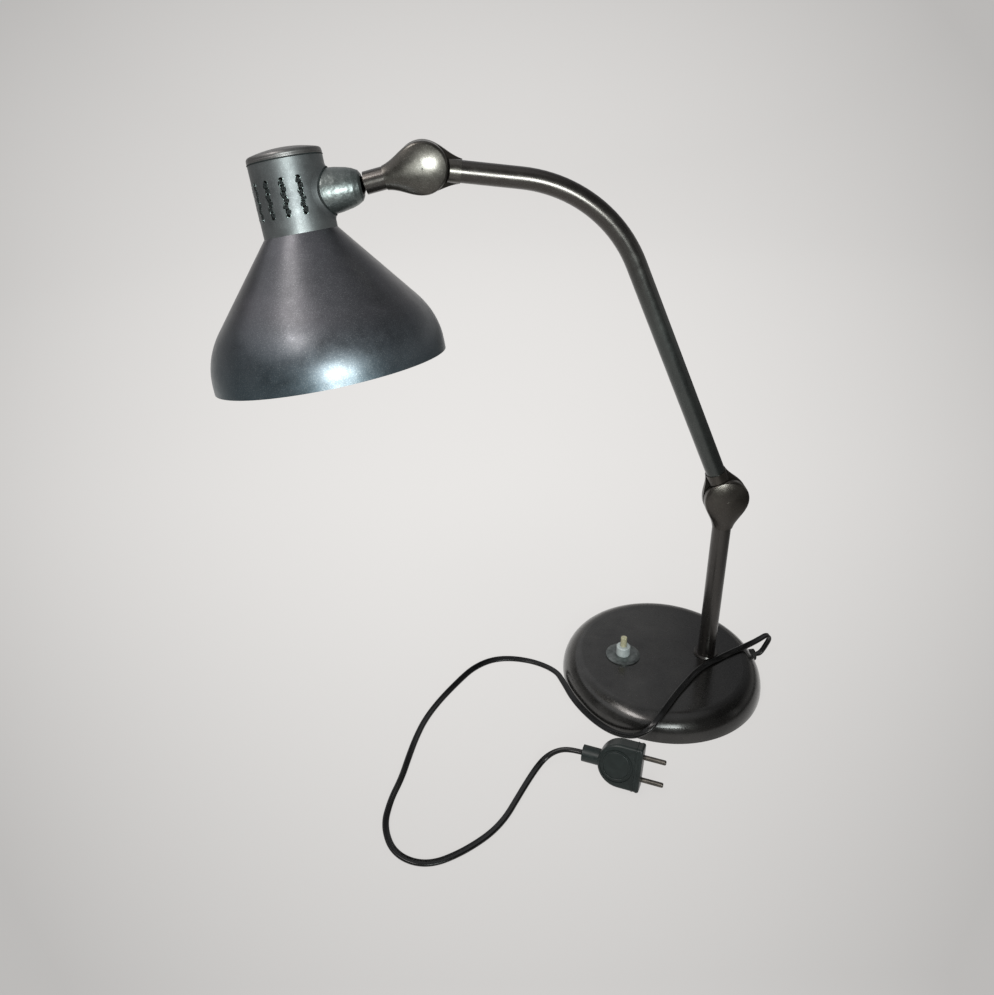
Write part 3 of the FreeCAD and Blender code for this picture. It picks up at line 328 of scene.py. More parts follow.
def repeated_quads(count, rows, columns):
    """Quads of many equal grids, each closed in both directions, one after the other."""
    index = np.arange(rows * columns).reshape(rows, columns)
    next_row, next_column = np.roll(index, -1, axis=0), np.roll(index, -1, axis=1)
    corners = [index, next_row, np.roll(next_row, -1, axis=1), next_column]
    quads = np.stack(corners, axis=-1).reshape(-1, 4)
    first_points = np.arange(count) * rows * columns
    return (quads[None] + first_points[:, None, None]).reshape(-1, 4)


def make_vent_web_shade():
    """Painted shade over the webs between the cells of each vent, which the punch pressed in so
    that the cells look joined. Each is a flat dark oval just over the cap's side: out to
    R (1 + waver sin 3a), its points lie at (out cos a, tallness out sin a) on the cap's side, moved
    to one side and the other in turn."""
    around_steps, section_steps = web_steps
    column = np.repeat(np.radians(vent_columns), vent_cells - 1)[:, None, None]
    number = np.tile(np.arange(vent_cells - 1), len(vent_columns))[:, None, None]
    around = np.linspace(0, 2 * np.pi, around_steps, endpoint=False)[None, :, None]
    section = np.linspace(0, 2 * np.pi, section_steps, endpoint=False)[None, None, :]
    waver = 1 + web_waver * np.sin(3 * around + web_phase * number)
    out = web_radius * (0.5 + 0.5 * np.cos(section)) * waver
    aside = web_wander * (-1) ** number
    turn = -column + (aside + out * np.cos(around)) / cap_radius
    height = vent_first + vent_pitch * (number + 0.5) + out * web_tallness * np.sin(around)
    points = on_cap(turn, height, web_lift + web_swell * np.sin(section) + 0 * turn)
    quads = repeated_quads(column.size, around_steps, section_steps)
    return mesh_object("vent_web_shade", points, quads[:, ::-1])


def make_vent_burrs():
    """Ragged lip that the punch left beside each vent cell: a ring of section round the cell at
    (out cos a, out sin a) on the cap's side. Its height is W (ragged sin b + root) cos^2 a, so
    that it rises at the cell's two sides, and ragged wavers as a mean and two sines of a."""
    around_steps, section_steps = burr_steps
    column = np.repeat(np.radians(vent_columns), vent_cells)
    down = np.tile(vent_first + vent_pitch * np.arange(vent_cells), len(vent_columns))
    cell = np.arange(len(column))[:, None, None]
    around = np.linspace(0, 2 * np.pi, around_steps, endpoint=False)[None, :, None]
    section = np.linspace(0, 2 * np.pi, section_steps, endpoint=False)[None, None, :]
    mean, slow, fast = burr_waves
    slow_phase, fast_phase = burr_phases
    ragged = (mean + slow * np.sin(2 * around + slow_phase * cell)
              + fast * np.sin(5 * around + fast_phase * cell))
    width = burr_width * (burr_even + (1 - burr_even) * ragged)
    out = vent_radius + burr_gap + width * np.cos(section)
    rise = burr_width * (ragged * np.sin(section) + burr_root) * np.cos(around) ** 2
    turn = -column[:, None, None] + out * np.cos(around) / cap_radius
    height = down[:, None, None] + out * np.sin(around)
    quads = repeated_quads(column.size, around_steps, section_steps)
    return mesh_object("vent_burrs", on_cap(turn, height, rise - burr_sink), quads[:, ::-1])


def make_collar_flare():
    """Low swelling of the cap's side round the collar's root. Over the cap's cylinder it stands
    up by H (1 - s)^3 - sink s, with s from 0 at the collar to 1 just under the surface, and it
    goes back under the surface at an even depth."""
    turn = np.linspace(0, 2 * np.pi, round_steps, endpoint=False)[:, None]
    share = np.linspace(0, 1, 14)[None, :]
    out = flare_inner + (flare_outer - flare_inner) * share
    rise = flare_height * (1 - share) ** 3 - flare_sink * share
    out = np.concatenate([out, out[:, ::-1]], axis=1)
    rise = np.concatenate([rise, -flare_depth + 0 * rise], axis=1)
    aside = np.arcsin(np.clip(out * np.cos(turn) / cap_radius, -1, 1))
    radius = cap_radius + rise
    grid = np.broadcast_arrays(radius * np.cos(aside), radius * np.sin(aside), out * np.sin(turn))
    points = placed(np.stack(grid, axis=-1), head_place)
    return surface("collar_flare", points, close_rows=True, close_columns=True)


def make_collar_gap_shade():
    """Painted shade in the joint round the collar's root: a thin dark round section that follows
    the swelling along the collar's circle, at x = sqrt(R^2 - y^2)."""
    turn = np.linspace(0, 2 * np.pi, round_steps, endpoint=False)[:, None]
    section = np.linspace(0, 2 * np.pi, 8, endpoint=False)[None, :]
    out = flare_inner + seam_bead * np.cos(section)
    y = out * np.cos(turn)
    x = np.sqrt((cap_radius + flare_height) ** 2 - y ** 2) + seam_bead * np.sin(section)
    grid = np.broadcast_arrays(x, y, out * np.sin(turn))
    points = placed(np.stack(grid, axis=-1), head_place)
    return surface("collar_gap_shade", points, close_rows=True, close_columns=True)


vent_burrs = make_vent_burrs()
vent_web_shade = make_vent_web_shade()
collar_flare = make_collar_flare()
collar_gap_shade = make_collar_gap_shade()
for piece in (vent_burrs, vent_web_shade, collar_flare, collar_gap_shade):
    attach(piece, "head")

# White enamel inside the shade: a thin coat along its inner wall, from the cap down to the rim.
# The outline is the shade's own: radius, and distance down the head's axis.
shade_wall = 0.9
coat_gap = 0.02
coat_thickness = 0.15
coat_start = 0.03  # share of the cone above the coat
cone_top = (27.3, 25.1)
cone_bottom = (74.7, 83.7)
skirt_radius = 88.9
curve_bottom = 122.3
rim_bottom = 127.2


def shade_side(offset):
    """Shade's outline moved inwards: a straight cone, then a three-point Bezier curve
    (1-t)^2 A + 2t(1-t) B + t^2 C that turns it upright, then a short straight skirt."""
    top, bottom = np.array(cone_top), np.array(cone_bottom)
    slope = bottom - top
    inward = np.array([-slope[1], slope[0]]) / np.linalg.norm(slope) * offset
    start, knee = top + inward, bottom + inward
    skirt = skirt_radius - offset
    corner = knee + slope * (skirt - knee[0]) / slope[0]
    end = np.array([skirt, curve_bottom])
    t = np.linspace(0, 1, 28)[:, None]
    cone = start + (knee - start) * np.linspace(coat_start, 1, 12)[:-1, None]
    curve = (1 - t) ** 2 * knee + 2 * t * (1 - t) * corner + t ** 2 * end
    return np.vstack([cone, curve, [[skirt, rim_bottom]]])


coat_outer = shade_side(shade_wall + coat_gap)
coat_inner = shade_side(shade_wall + coat_gap + coat_thickness)
coat_outline = np.vstack([coat_outer, coat_inner[::-1]])
shade_enamel = revolved("shade_enamel", coat_outline, down_place, steps=128)
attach(shade_enamel, "head")

# Plug: x points out of its face, y from pin to pin and z square to its broad side
plug_point = (-44.1, -135.0, 19.25)
plug_yaw = math.radians(-21.9)
plug_lean = math.radians(70.0)
plug_place = (Matrix.Translation(plug_point) @ Matrix.Rotation(plug_yaw, 4, "Z")
              @ Matrix.Rotation(plug_lean, 4, "X"))
plug_half_width = 18.2
plug_half_depth = 8.2
plug_edge = 2.4
plug_steps = 64
plug_first_turn = 0.01  # keeps points off the sides' middles, where the corner's sign is nought
# Rib round the body: its place behind the face, reach and half width
rib_back = 5.6
rib_sink = 0.1
rib_reach = 0.6
rib_half_width = 0.55
# Face plate
plate_reach = 2.75
plate_rounding = 1.9
plate_thickness = 3.2
plate_chamfer = 0.4
# Rings on the two broad sides
ring_back = 19.9
ring_radius = 11.0
ring_half_width = 0.6
ring_lift = 0.02


def ring_bead(name, radius, bead, lift, place):
    """Ring of round section: radius R + bead cos a, height lift + bead sin a, turned about Z."""
    around = np.linspace(0, 2 * np.pi, 12, endpoint=False)
    profile = np.stack([radius + bead * np.cos(around), lift + bead * np.sin(around)], axis=-1)
    return revolved(name, profile[::-1], place)


def above_desk(points):
    """Points pressed flat where the plug leans on the desk: z is never less than the desk gap."""
    points[..., 2] = np.maximum(points[..., 2], desk_gap)
    return points


def make_plug_rib():
    """Rib round the plug near its face: a round section carried along a rectangle with round
    corners, each corner point its centre plus a reach times (cos, sin)."""
    turn = np.linspace(0, 2 * np.pi, plug_steps, endpoint=False) + plug_first_turn
    section = np.linspace(0, 2 * np.pi, 10, endpoint=False)
    centre_y = np.sign(np.cos(turn)) * (plug_half_width - plug_edge)
    centre_z = np.sign(np.sin(turn)) * (plug_half_depth - plug_edge)
    reach = plug_edge - rib_sink + rib_reach * np.cos(section)
    y = centre_y[:, None] + np.outer(np.cos(turn), reach)
    z = centre_z[:, None] + np.outer(np.sin(turn), reach)
    x = -rib_back + rib_half_width * np.sin(section) + 0 * y
    points = above_desk(placed(np.stack([x, y, z], axis=-1), plug_place))
    return surface("plug_band", points, close_rows=True, close_columns=True)


def make_plug_plate():
    """Plug's face plate: a rectangle with round corners, whose reach past the corners' centres is
    full at its sides and E - R (1 - cos a) at x = R (sin a - 1) round the front edge. The front
    and back are drawn in to the middle."""
    turn = np.linspace(0, 2 * np.pi, plug_steps, endpoint=False) + plug_first_turn
    roll = np.linspace(0, np.pi / 2, 8)
    reach = np.concatenate([[plate_reach - plate_chamfer, plate_reach],
                            plate_reach - plate_rounding * (1 - np.cos(roll))])
    out = np.concatenate([[-plate_thickness, plate_chamfer - plate_thickness],
                          plate_rounding * (np.sin(roll) - 1)])
    centre_y = np.sign(np.cos(turn)) * (plug_half_width - plug_edge)
    centre_z = np.sign(np.sin(turn)) * (plug_half_depth - plug_edge)
    x = np.repeat(out[:, None], plug_steps, axis=1)
    y = centre_y + np.outer(reach, np.cos(turn))
    z = centre_z + np.outer(reach, np.sin(turn))
    middles = [np.tile(np.array([out[end], 0.0, 0.0]), (1, plug_steps, 1)) for end in (0, -1)]
    points = np.concatenate([middles[0], np.stack([x, y, z], axis=-1), middles[1]])
    points = above_desk(placed(points, plug_place))
    return surface("plug_plate", points, close_columns=True, weld=True)


def make_lid_ring(name, inset, bead, height):
    """Ring round the cap's lid."""
    return ring_bead(name, cap_radius - inset, bead, height, down_place)


lid_gap_shade = make_lid_ring("lid_gap_shade", *lid_gap_shade_ring)
lid_edge = make_lid_ring("lid_edge", *lid_edge_ring)
for piece in (lid_gap_shade, lid_edge):
    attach(piece, "head")

plug_rib = make_plug_rib()
front_side = plug_place @ Matrix.Translation((-ring_back, 0, plug_half_depth))
back_side = (plug_place @ Matrix.Translation((-ring_back, 0, -plug_half_depth))
             @ Matrix.Rotation(math.pi, 4, "X"))
plug_rings = [ring_bead("plug_ring_front", ring_radius, ring_half_width, ring_lift, front_side),
              ring_bead("plug_ring_back", ring_radius, ring_half_width, ring_lift, back_side)]
plug_plate = make_plug_plate()
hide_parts("plug_face")
plug_trim = (plug_plate, plug_rib, *plug_rings)
for piece in plug_trim:
    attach(piece, "base")


def add(tree, kind, inputs=None, **settings):
    """Adds one shader node. Inputs are values, or sockets to link from; settings are its own."""
    made = tree.nodes.new("ShaderNode" + kind)
    for name, value in settings.items():
        setattr(made, name, value)
    for name, value in (inputs or {}).items():
        if isinstance(value, bpy.types.NodeSocket):
            tree.links.new(value, made.inputs[name])
        else:
            made.inputs[name].default_value = value
    return made


def new_material(name):
    """Material with an empty node tree."""
    made = bpy.data.materials.new(name)
    made.use_nodes = True
    made.node_tree.nodes.clear()
    return made, made.node_tree


# Sizes in the finishes, in millimetres. The flake is 0.05 mm in the real lacquer and drawn at
# 0.6 mm, so that it shows.
flake_mm = 0.6
wear_mm = 9.0
bloom_mm = 7.0
speck_mm = 1.1
frost_mm = 2.5
split_fade_mm = 0.15


def metallic_lacquer(name, shade, tone, light, rough, peel_mm=1.6, peel_height_mm=0.012,
                     patch_mm=38.0, dent_mm=11.0, dent_height_mm=0.0, metal=0.9, coat=0.3,
                     coat_rough=0.16, far_tone=None, axis="Z", far_from=0.0, far_to=0.0,
                     shaded_split_mm=0.0):
    """Metallic stoving lacquer, sprayed: aluminium flake in a grey binder under a thin clear
    coat. It gives soft, wide highlights, cloudy patches, a fine sparkle and orange peel. It may
    turn to another tone along an axis, where stoving or smoke tinted it; on the base, though, that
    darker tone is painted shade on the side that faces the unlit room. Near the hinges' split, at
    Y = 0, the inner faces are painted dark: painted shade in the split between the halves."""
    made, tree = new_material(name)
    at = add(tree, "TexCoord").outputs["Object"]
    place = add(tree, "SeparateXYZ", {"Vector": at})
    patch = add(tree, "TexNoise", {"Vector": at, "Scale": 1000 / patch_mm, "Detail": 4.0,
                                   "Roughness": 0.6})
    cloud = add(tree, "MapRange", {"Value": patch.outputs[0], "From Min": 0.35,
                                   "From Max": 0.68})
    binder = add(tree, "Mix", {0: cloud.outputs[0], 6: colour(shade), 7: colour(tone)},
                 data_type="RGBA")
    if far_tone is not None:
        far = add(tree, "MapRange", {"Value": place.outputs[axis], "From Min": far_from,
                                     "From Max": far_to})
        binder = add(tree, "Mix", {0: far.outputs[0], 6: binder.outputs[2],
                                   7: colour(far_tone)}, data_type="RGBA")
    flake = add(tree, "TexNoise", {"Vector": at, "Scale": 1000 / flake_mm, "Detail": 1.0})
    glint = add(tree, "MapRange", {"Value": flake.outputs[0], "From Min": 0.52,
                                   "From Max": 0.78, "To Max": 0.4})
    paint = add(tree, "Mix", {0: glint.outputs[0], 6: binder.outputs[2], 7: colour(light)},
                data_type="RGBA")
    wear = add(tree, "TexNoise", {"Vector": at, "Scale": 1000 / wear_mm, "Detail": 5.0,
                                  "Roughness": 0.65})
    gloss = add(tree, "MapRange", {"Value": wear.outputs[0], "From Min": 0.3, "From Max": 0.7,
                                   "To Min": rough - 0.06, "To Max": rough + 0.08})
    peel = add(tree, "TexNoise", {"Vector": at, "Scale": 1000 / peel_mm, "Detail": 2.0})
    skin = add(tree, "Bump", {"Height": peel.outputs[0], "Strength": 0.6,
                              "Distance": peel_height_mm * MM})
    if dent_height_mm:
        dents = add(tree, "TexNoise", {"Vector": at, "Scale": 1000 / dent_mm, "Detail": 1.0})
        skin = add(tree, "Bump", {"Height": dents.outputs[0], "Strength": 0.8,
                                  "Normal": skin.outputs[0], "Distance": dent_height_mm * MM})
    lacquer = add(tree, "BsdfPrincipled", {"Base Color": paint.outputs[2], "Metallic": metal,
                                           "Roughness": gloss.outputs[0],
                                           "Normal": skin.outputs[0], "Coat Weight": coat,
                                           "Coat Roughness": coat_rough})
    seen = lacquer
    # Painted shade in the hinges' split: a dark matt band within shaded_split_mm of Y = 0
    if shaded_split_mm:
        deep = add(tree, "Math", {0: place.outputs["Y"]}, operation="ABSOLUTE")
        clean = add(tree, "MapRange", {"Value": deep.outputs[0], "From Min": shaded_split_mm * MM,
                                       "From Max": (shaded_split_mm + split_fade_mm) * MM})
        painted_split_shade = add(tree, "BsdfDiffuse", {"Color": colour(0x1C1A18),
                                           "Normal": skin.outputs[0]})
        seen = add(tree, "MixShader", {0: clean.outputs[0], 1: painted_split_shade.outputs[0],
                                       2: lacquer.outputs[0]})
    add(tree, "OutputMaterial", {"Surface": seen.outputs[0]})
    return made


def plated_metal(name, dark, light, rough, streak_mm, metal=1.0, grain_height_mm=0.01):
    """Bare or plated metal, turned or rolled: a fine grain from the work, and a dull bloom."""
    made, tree = new_material(name)
    at = add(tree, "TexCoord").outputs["Object"]
    streak = add(tree, "TexNoise", {"Vector": at, "Scale": 1000 / streak_mm, "Detail": 3.0})
    bloom = add(tree, "TexNoise", {"Vector": at, "Scale": 1000 / bloom_mm, "Detail": 4.0,
                                   "Roughness": 0.6})
    stain = add(tree, "MapRange", {"Value": bloom.outputs[0], "From Min": 0.35,
                                   "From Max": 0.65})
    tone = add(tree, "Mix", {0: stain.outputs[0], 6: colour(dark), 7: colour(light)},
               data_type="RGBA")
    gloss = add(tree, "MapRange", {"Value": streak.outputs[0], "From Min": 0.3, "From Max": 0.7,
                                   "To Min": rough - 0.07, "To Max": rough + 0.09})
    skin = add(tree, "Bump", {"Height": streak.outputs[0], "Strength": 0.5,
                              "Distance": grain_height_mm * MM})
    shader = add(tree, "BsdfPrincipled", {"Base Color": tone.outputs[2], "Metallic": metal,
                                          "Roughness": gloss.outputs[0],
                                          "Normal": skin.outputs[0]})
    add(tree, "OutputMaterial", {"Surface": shader.outputs[0]})
    return made


def moulding(name, dark, light, rough, grain_mm=0.5, grain_height_mm=0.01, patch_mm=12.0,
             coat=0.0, ior=1.5, dust_share=0.08):
    """Moulded or glazed non-metal: a nearly even colour with faint flow marks, a fine skin
    grain, and a little dust in small specks."""
    made, tree = new_material(name)
    at = add(tree, "TexCoord").outputs["Object"]
    flow = add(tree, "TexNoise", {"Vector": at, "Scale": 1000 / patch_mm, "Detail": 3.0,
                                  "Distortion": 0.6})
    share = add(tree, "MapRange", {"Value": flow.outputs[0], "From Min": 0.3, "From Max": 0.7})
    tone = add(tree, "Mix", {0: share.outputs[0], 6: colour(dark), 7: colour(light)},
               data_type="RGBA")
    specks = add(tree, "TexNoise", {"Vector": at, "Scale": 1000 / speck_mm, "Detail": 4.0,
                                    "Roughness": 0.7})
    dusty = add(tree, "MapRange", {"Value": specks.outputs[0], "From Min": 0.55,
                                   "From Max": 0.8, "To Max": dust_share})
    paint = add(tree, "Mix", {0: dusty.outputs[0], 6: tone.outputs[2], 7: colour(0xB8B4AC)},
                data_type="RGBA")
    gloss = add(tree, "MapRange", {"Value": flow.outputs[0], "From Min": 0.3, "From Max": 0.7,
                                   "To Min": rough - 0.04, "To Max": rough + 0.06})
    grain = add(tree, "TexNoise", {"Vector": at, "Scale": 1000 / grain_mm, "Detail": 2.0})
    skin = add(tree, "Bump", {"Height": grain.outputs[0], "Strength": 0.5,
                              "Distance": grain_height_mm * MM})
    shader = add(tree, "BsdfPrincipled", {"Base Color": paint.outputs[2],
                                          "Roughness": gloss.outputs[0],
                                          "Normal": skin.outputs[0], "IOR": ior,
                                          "Coat Weight": coat, "Coat Roughness": 0.1})
    add(tree, "OutputMaterial", {"Surface": shader.outputs[0]})
    return made


def frosted_glass(name):
    """Bulb glass frosted inside: milky, smooth outside, and lets soft light through."""
    made, tree = new_material(name)
    at = add(tree, "TexCoord").outputs["Object"]
    frost = add(tree, "TexNoise", {"Vector": at, "Scale": 1000 / frost_mm, "Detail": 4.0})
    milk = add(tree, "MapRange", {"Value": frost.outputs[0], "From Min": 0.3, "From Max": 0.7})
    tone = add(tree, "Mix", {0: milk.outputs[0], 6: colour(0xE6E6E2), 7: colour(0xF2F2EE)},
               data_type="RGBA")
    shader = add(tree, "BsdfPrincipled", {"Base Color": tone.outputs[2], "Roughness": 0.28,
                                          "IOR": 1.5, "Transmission Weight": 0.35})
    add(tree, "OutputMaterial", {"Surface": shader.outputs[0]})
    return made


# Each finish: the two tones it wavers between, for a lacquer the tone of its flake, how rough it
# is, and for a metal the size of its grain in millimetres
finishes = {
    # On spun aluminium: satin, with wide soft highlights, and bluer towards the rim
    "shade_lacquer": metallic_lacquer(
        "graphite_metallic_lacquer_on_spun_sheet", 0x48484C, 0x555459, 0x94989A, 0.4,
        peel_height_mm=0.02, coat=0.5, coat_rough=0.3, far_tone=0x43545C, far_from=0.385,
        far_to=0.325),
    # On the cap's sheet: paler and duller, so its highlights fade slowly
    "cap_lacquer": metallic_lacquer(
        "graphite_metallic_lacquer_on_cap", 0x606364, 0x6E7171, 0x929899, 0.48, coat=0.1),
    # On the lid: as dull, and warmer
    "lid_lacquer": metallic_lacquer(
        "graphite_metallic_lacquer_on_lid", 0x636261, 0x737170, 0x929190, 0.44, coat=0.1),
    # On castings: glossier, over shallow dents, and dark with painted shade at the split
    "cast_lacquer": metallic_lacquer(
        "graphite_metallic_lacquer_on_casting", 0x3F3C38, 0x524F4A, 0x908C86, 0.31,
        dent_height_mm=0.1, shaded_split_mm=0.8),
    # On the collar's rough casting: many small dents break up its highlight
    "collar_lacquer": metallic_lacquer(
        "graphite_metallic_lacquer_on_collar", 0x5A605F, 0x707573, 0xA0A5A3, 0.4, dent_mm=4.0,
        dent_height_mm=0.45, coat=0.2),
    # On drawn tube: smooth, with one bright line along it, and browner higher up
    "tube_lacquer": metallic_lacquer(
        "graphite_metallic_lacquer_on_tube", 0x3F4241, 0x4B4E4C, 0x696C6A, 0.29,
        peel_height_mm=0.002, patch_mm=60.0, far_tone=0x433F3C, far_from=0.34, far_to=0.44),
    # On the elbow: darker than the other castings, nearly black, with a soft shine, and painted
    # shade at the split
    "elbow_lacquer": metallic_lacquer(
        "dark_lacquer_on_elbow", 0x3B3835, 0x4A4641, 0x706C66, 0.3,
        dent_height_mm=0.04, shaded_split_mm=0.8),
    # On the stem: as dark as the elbow, with a little more orange peel
    "stem_lacquer": metallic_lacquer(
        "dark_lacquer_on_stem", 0x393735, 0x464341, 0x64625E, 0.3,
        peel_height_mm=0.006, patch_mm=60.0),
    # On the base, stoved thick: dark, cloudy and glossy, and blackest on the stem's side, +X:
    # painted shade on the side that faces the unlit room
    "base_lacquer": metallic_lacquer(
        "charcoal_lacquer_on_base", 0x292827, 0x42413F, 0x504F4D, 0.27, patch_mm=46.0,
        metal=0.7, coat=0.6, far_tone=0x141312, axis="X", far_from=-0.03, far_to=0.06),
    # Bare metal where the punch broke the lacquer: small glints
    "bare_edge": plated_metal("bare_punched_edge", 0x4A5250, 0x8E9896, 0.34, 0.5),
    # Zinc plate on turned steel: pale grey with a fine grain
    "zinc": plated_metal("zinc_plated_steel", 0x8C9092, 0xB4B8B9, 0.36, 0.8),
    # Zinc plate after years of handling: darker and dull
    "dark_zinc": plated_metal("weathered_zinc_plated_steel", 0x565A59, 0x858A88, 0.42, 0.8),
    # Turned steel under old grease: nearly black, with a soft shine
    "greased_steel": plated_metal("greased_steel", 0x1C1A18, 0x2C2A27, 0.34, 0.8),
    # Sand-cast iron, left raw: dull and coarse
    "iron": plated_metal(
        "raw_cast_iron", 0x3C3A38, 0x55524E, 0.62, 1.4, metal=0.7, grain_height_mm=0.08),
    # Nickel plate worn thin over turned brass: pale gold, smooth
    "brass": plated_metal("nickel_plated_brass", 0xA89E78, 0xC4BC9C, 0.3, 0.7),
    # Nickel pins, tarnished: dark grey with a soft shine
    "pin_metal": plated_metal("dulled_nickel_pins", 0x4A4844, 0x6A6660, 0.34, 0.6),
    # Rolled aluminium: bright and satin
    "bulb_metal": plated_metal("aluminium_screw_cap", 0xB0B2B4, 0xC8CACB, 0.32, 0.7),
    # Painted shade in the joints and over the webs between the vents' cells: nearly black and matt
    "seam": moulding("painted_shade_in_gaps", 0x101414, 0x1C2222, 0.6, ior=1.3, dust_share=0.02),
    # Wool felt, pressed: dull green-grey with a nap
    "felt": moulding(
        "pressed_wool_felt", 0x262A27, 0x39403B, 0.92, grain_mm=0.7, grain_height_mm=0.25),
    # Vulcanised fibre, punched: nearly black and dull, with a faint grain
    "fibre": moulding(
        "vulcanised_fibre", 0x1E1C1A, 0x2B2826, 0.7, grain_mm=0.6, grain_height_mm=0.04),
    # Moulded rubber: black and dull
    "rubber": moulding(
        "black_rubber", 0x141414, 0x1E1E1D, 0.62, grain_mm=0.8, grain_height_mm=0.03),
    # Phenolic, pressed in a mould: nearly black with a deep gloss
    "phenolic": moulding(
        "black_phenolic_moulding", 0x121110, 0x1E1B19, 0.25, grain_mm=1.2, coat=0.2),
    # Moulded nylon: pale grey and satin
    "grey_nylon": moulding(
        "pale_grey_nylon", 0x8E9797, 0xB4BCBB, 0.42, grain_mm=0.6, grain_height_mm=0.03),
    # Moulded plastic yellowed by age: cream and satin
    "cream": moulding("aged_cream_moulding", 0x918E72, 0xB9B69A, 0.38, grain_mm=0.6),
    # Steatite, glazed: white with a wet gloss
    "ceramic": moulding("glazed_steatite", 0xE2E0D8, 0xEFEDE7, 0.18, grain_mm=2.0, coat=0.4),
    # Enamel, sprayed and stoved: white and glossy, with faint orange peel
    "enamel": moulding(
        "white_stoved_enamel", 0xD9D8D2, 0xE6E5E0, 0.3, grain_mm=1.8, grain_height_mm=0.015,
        patch_mm=40.0, coat=0.3),
    # Extruded PVC: black, with a bright line along each lobe
    "flex": moulding(
        "black_pvc_flex", 0x060606, 0x0E0E0E, 0.22, grain_mm=2.5, grain_height_mm=0.03,
        patch_mm=20.0, ior=1.42, dust_share=0.02),
    # Moulded PVC: black with a green cast, satin
    "plug": moulding(
        "black_green_pvc_plug", 0x131A19, 0x1C2423, 0.36, grain_mm=0.5, grain_height_mm=0.02,
        ior=1.42, dust_share=0.03),
    # Extruded PVC inside the lamp: black and dusty
    "lead": moulding("black_pvc_leads", 0x0E0E0E, 0x181817, 0.4),
    # Blown glass, frosted inside: milky, with a sharp shine
    "bulb_glass": frosted_glass("frosted_bulb_glass"),
}

# What wears each finish: CAD nodes by name, and the scene's own pieces
worn_by = {
    "shade_lacquer": ("shade",),
    "cap_lacquer": ("cap_shell", "collar_saddle", collar_flare),
    "lid_lacquer": ("cap_lid", lid_edge),
    "cast_lacquer": ("wrist_knuckle_arm", "wrist_knuckle_neck"),
    "elbow_lacquer": ("elbow_knuckle_stem", "elbow_knuckle_arm"),
    "collar_lacquer": ("ball_socket", "collar_base"),
    # Painted shade: the dark joint lines at the collar and the lid, and the vents' webs
    "seam": (vent_web_shade, collar_gap_shade, lid_gap_shade),
    "bare_edge": (vent_burrs,),
    "tube_lacquer": ("arm_tube", "neck_tube"),
    "stem_lacquer": ("stem_tube", "stem_ferrule"),
    "base_lacquer": ("base_shell",),
    "zinc": ("base_plate", "base_screws", "stem_nut", "cord_clamp", "cord_clamp_screw",
             "elbow_spring_washer", "wrist_spring_washer", "collar_nut", "holder_bridge",
             "nipple_nut", "elbow_pivot_bolt", "wrist_pivot_bolt"),
    "greased_steel": ("swivel_nut", "ball_stud"),
    "dark_zinc": ("switch_rosette",),
    "iron": ("base_weight",),
    "brass": ("nipple", "centre_contact"),
    "pin_metal": ("plug_pins",),
    "bulb_metal": ("bulb_cap",),
    "felt": ("base_felt",),
    "fibre": ("elbow_friction_washer", "wrist_friction_washer"),
    "rubber": ("cord_grommet",),
    "phenolic": ("lampholder_cap", "lampholder_body", "shade_ring", "switch_body", "ball_seat"),
    "grey_nylon": ("switch_collar_nut",),
    "cream": ("switch_plunger",),
    "ceramic": ("lampholder_insulator",),
    "enamel": (shade_enamel,),
    "flex": (mains_flex,),
    "plug": ("plug_body", *plug_trim),
    "lead": ("lead_base", "lead_stem", "lead_arm", "lead_neck"),
    "bulb_glass": ("bulb_glass",),
}
for finish, pieces in worn_by.items():
    for piece in pieces:
        target = nodes[piece] if isinstance(piece, str) else piece
        target.data.materials.clear()
        target.data.materials.append(finishes[finish])


# Background paper, in millimetres: a flat floor that bends up into a wall all round it
floor_reach = 1900
bend_radius = 900
wall_top = 1500
felt_gap = 0.05


def make_sweep():
    """Background paper turned about Z: flat to the floor's reach F, then a quarter circle
    (F + B sin a, B - B cos a), then upright. All of it lies a hair below the felt."""
    flat = np.stack([np.linspace(0, floor_reach, 20), np.zeros(20)], axis=-1)
    bend = np.linspace(0, np.pi / 2, 24)[1:]
    curve = np.stack([floor_reach + bend_radius * np.sin(bend),
                      bend_radius - bend_radius * np.cos(bend)], axis=-1)
    profile = np.vstack([flat, curve, [[floor_reach + bend_radius, wall_top]]])
    turn = np.linspace(0, 2 * np.pi, round_steps, endpoint=False)
    height = np.repeat(profile[:, 1:2], len(turn), axis=1) - felt_gap
    points = np.stack([np.outer(profile[:, 0], np.cos(turn)),
                       np.outer(profile[:, 0], np.sin(turn)), height], axis=-1)
    return surface("paper_sweep", points, close_columns=True, weld=True)


paper_tone = 0xEAE8E6
paper_least = 0.62  # share of the tone that a camera always sees
paper_own_share = 0.93  # share of what is seen that is the paper's own tone, not light on it


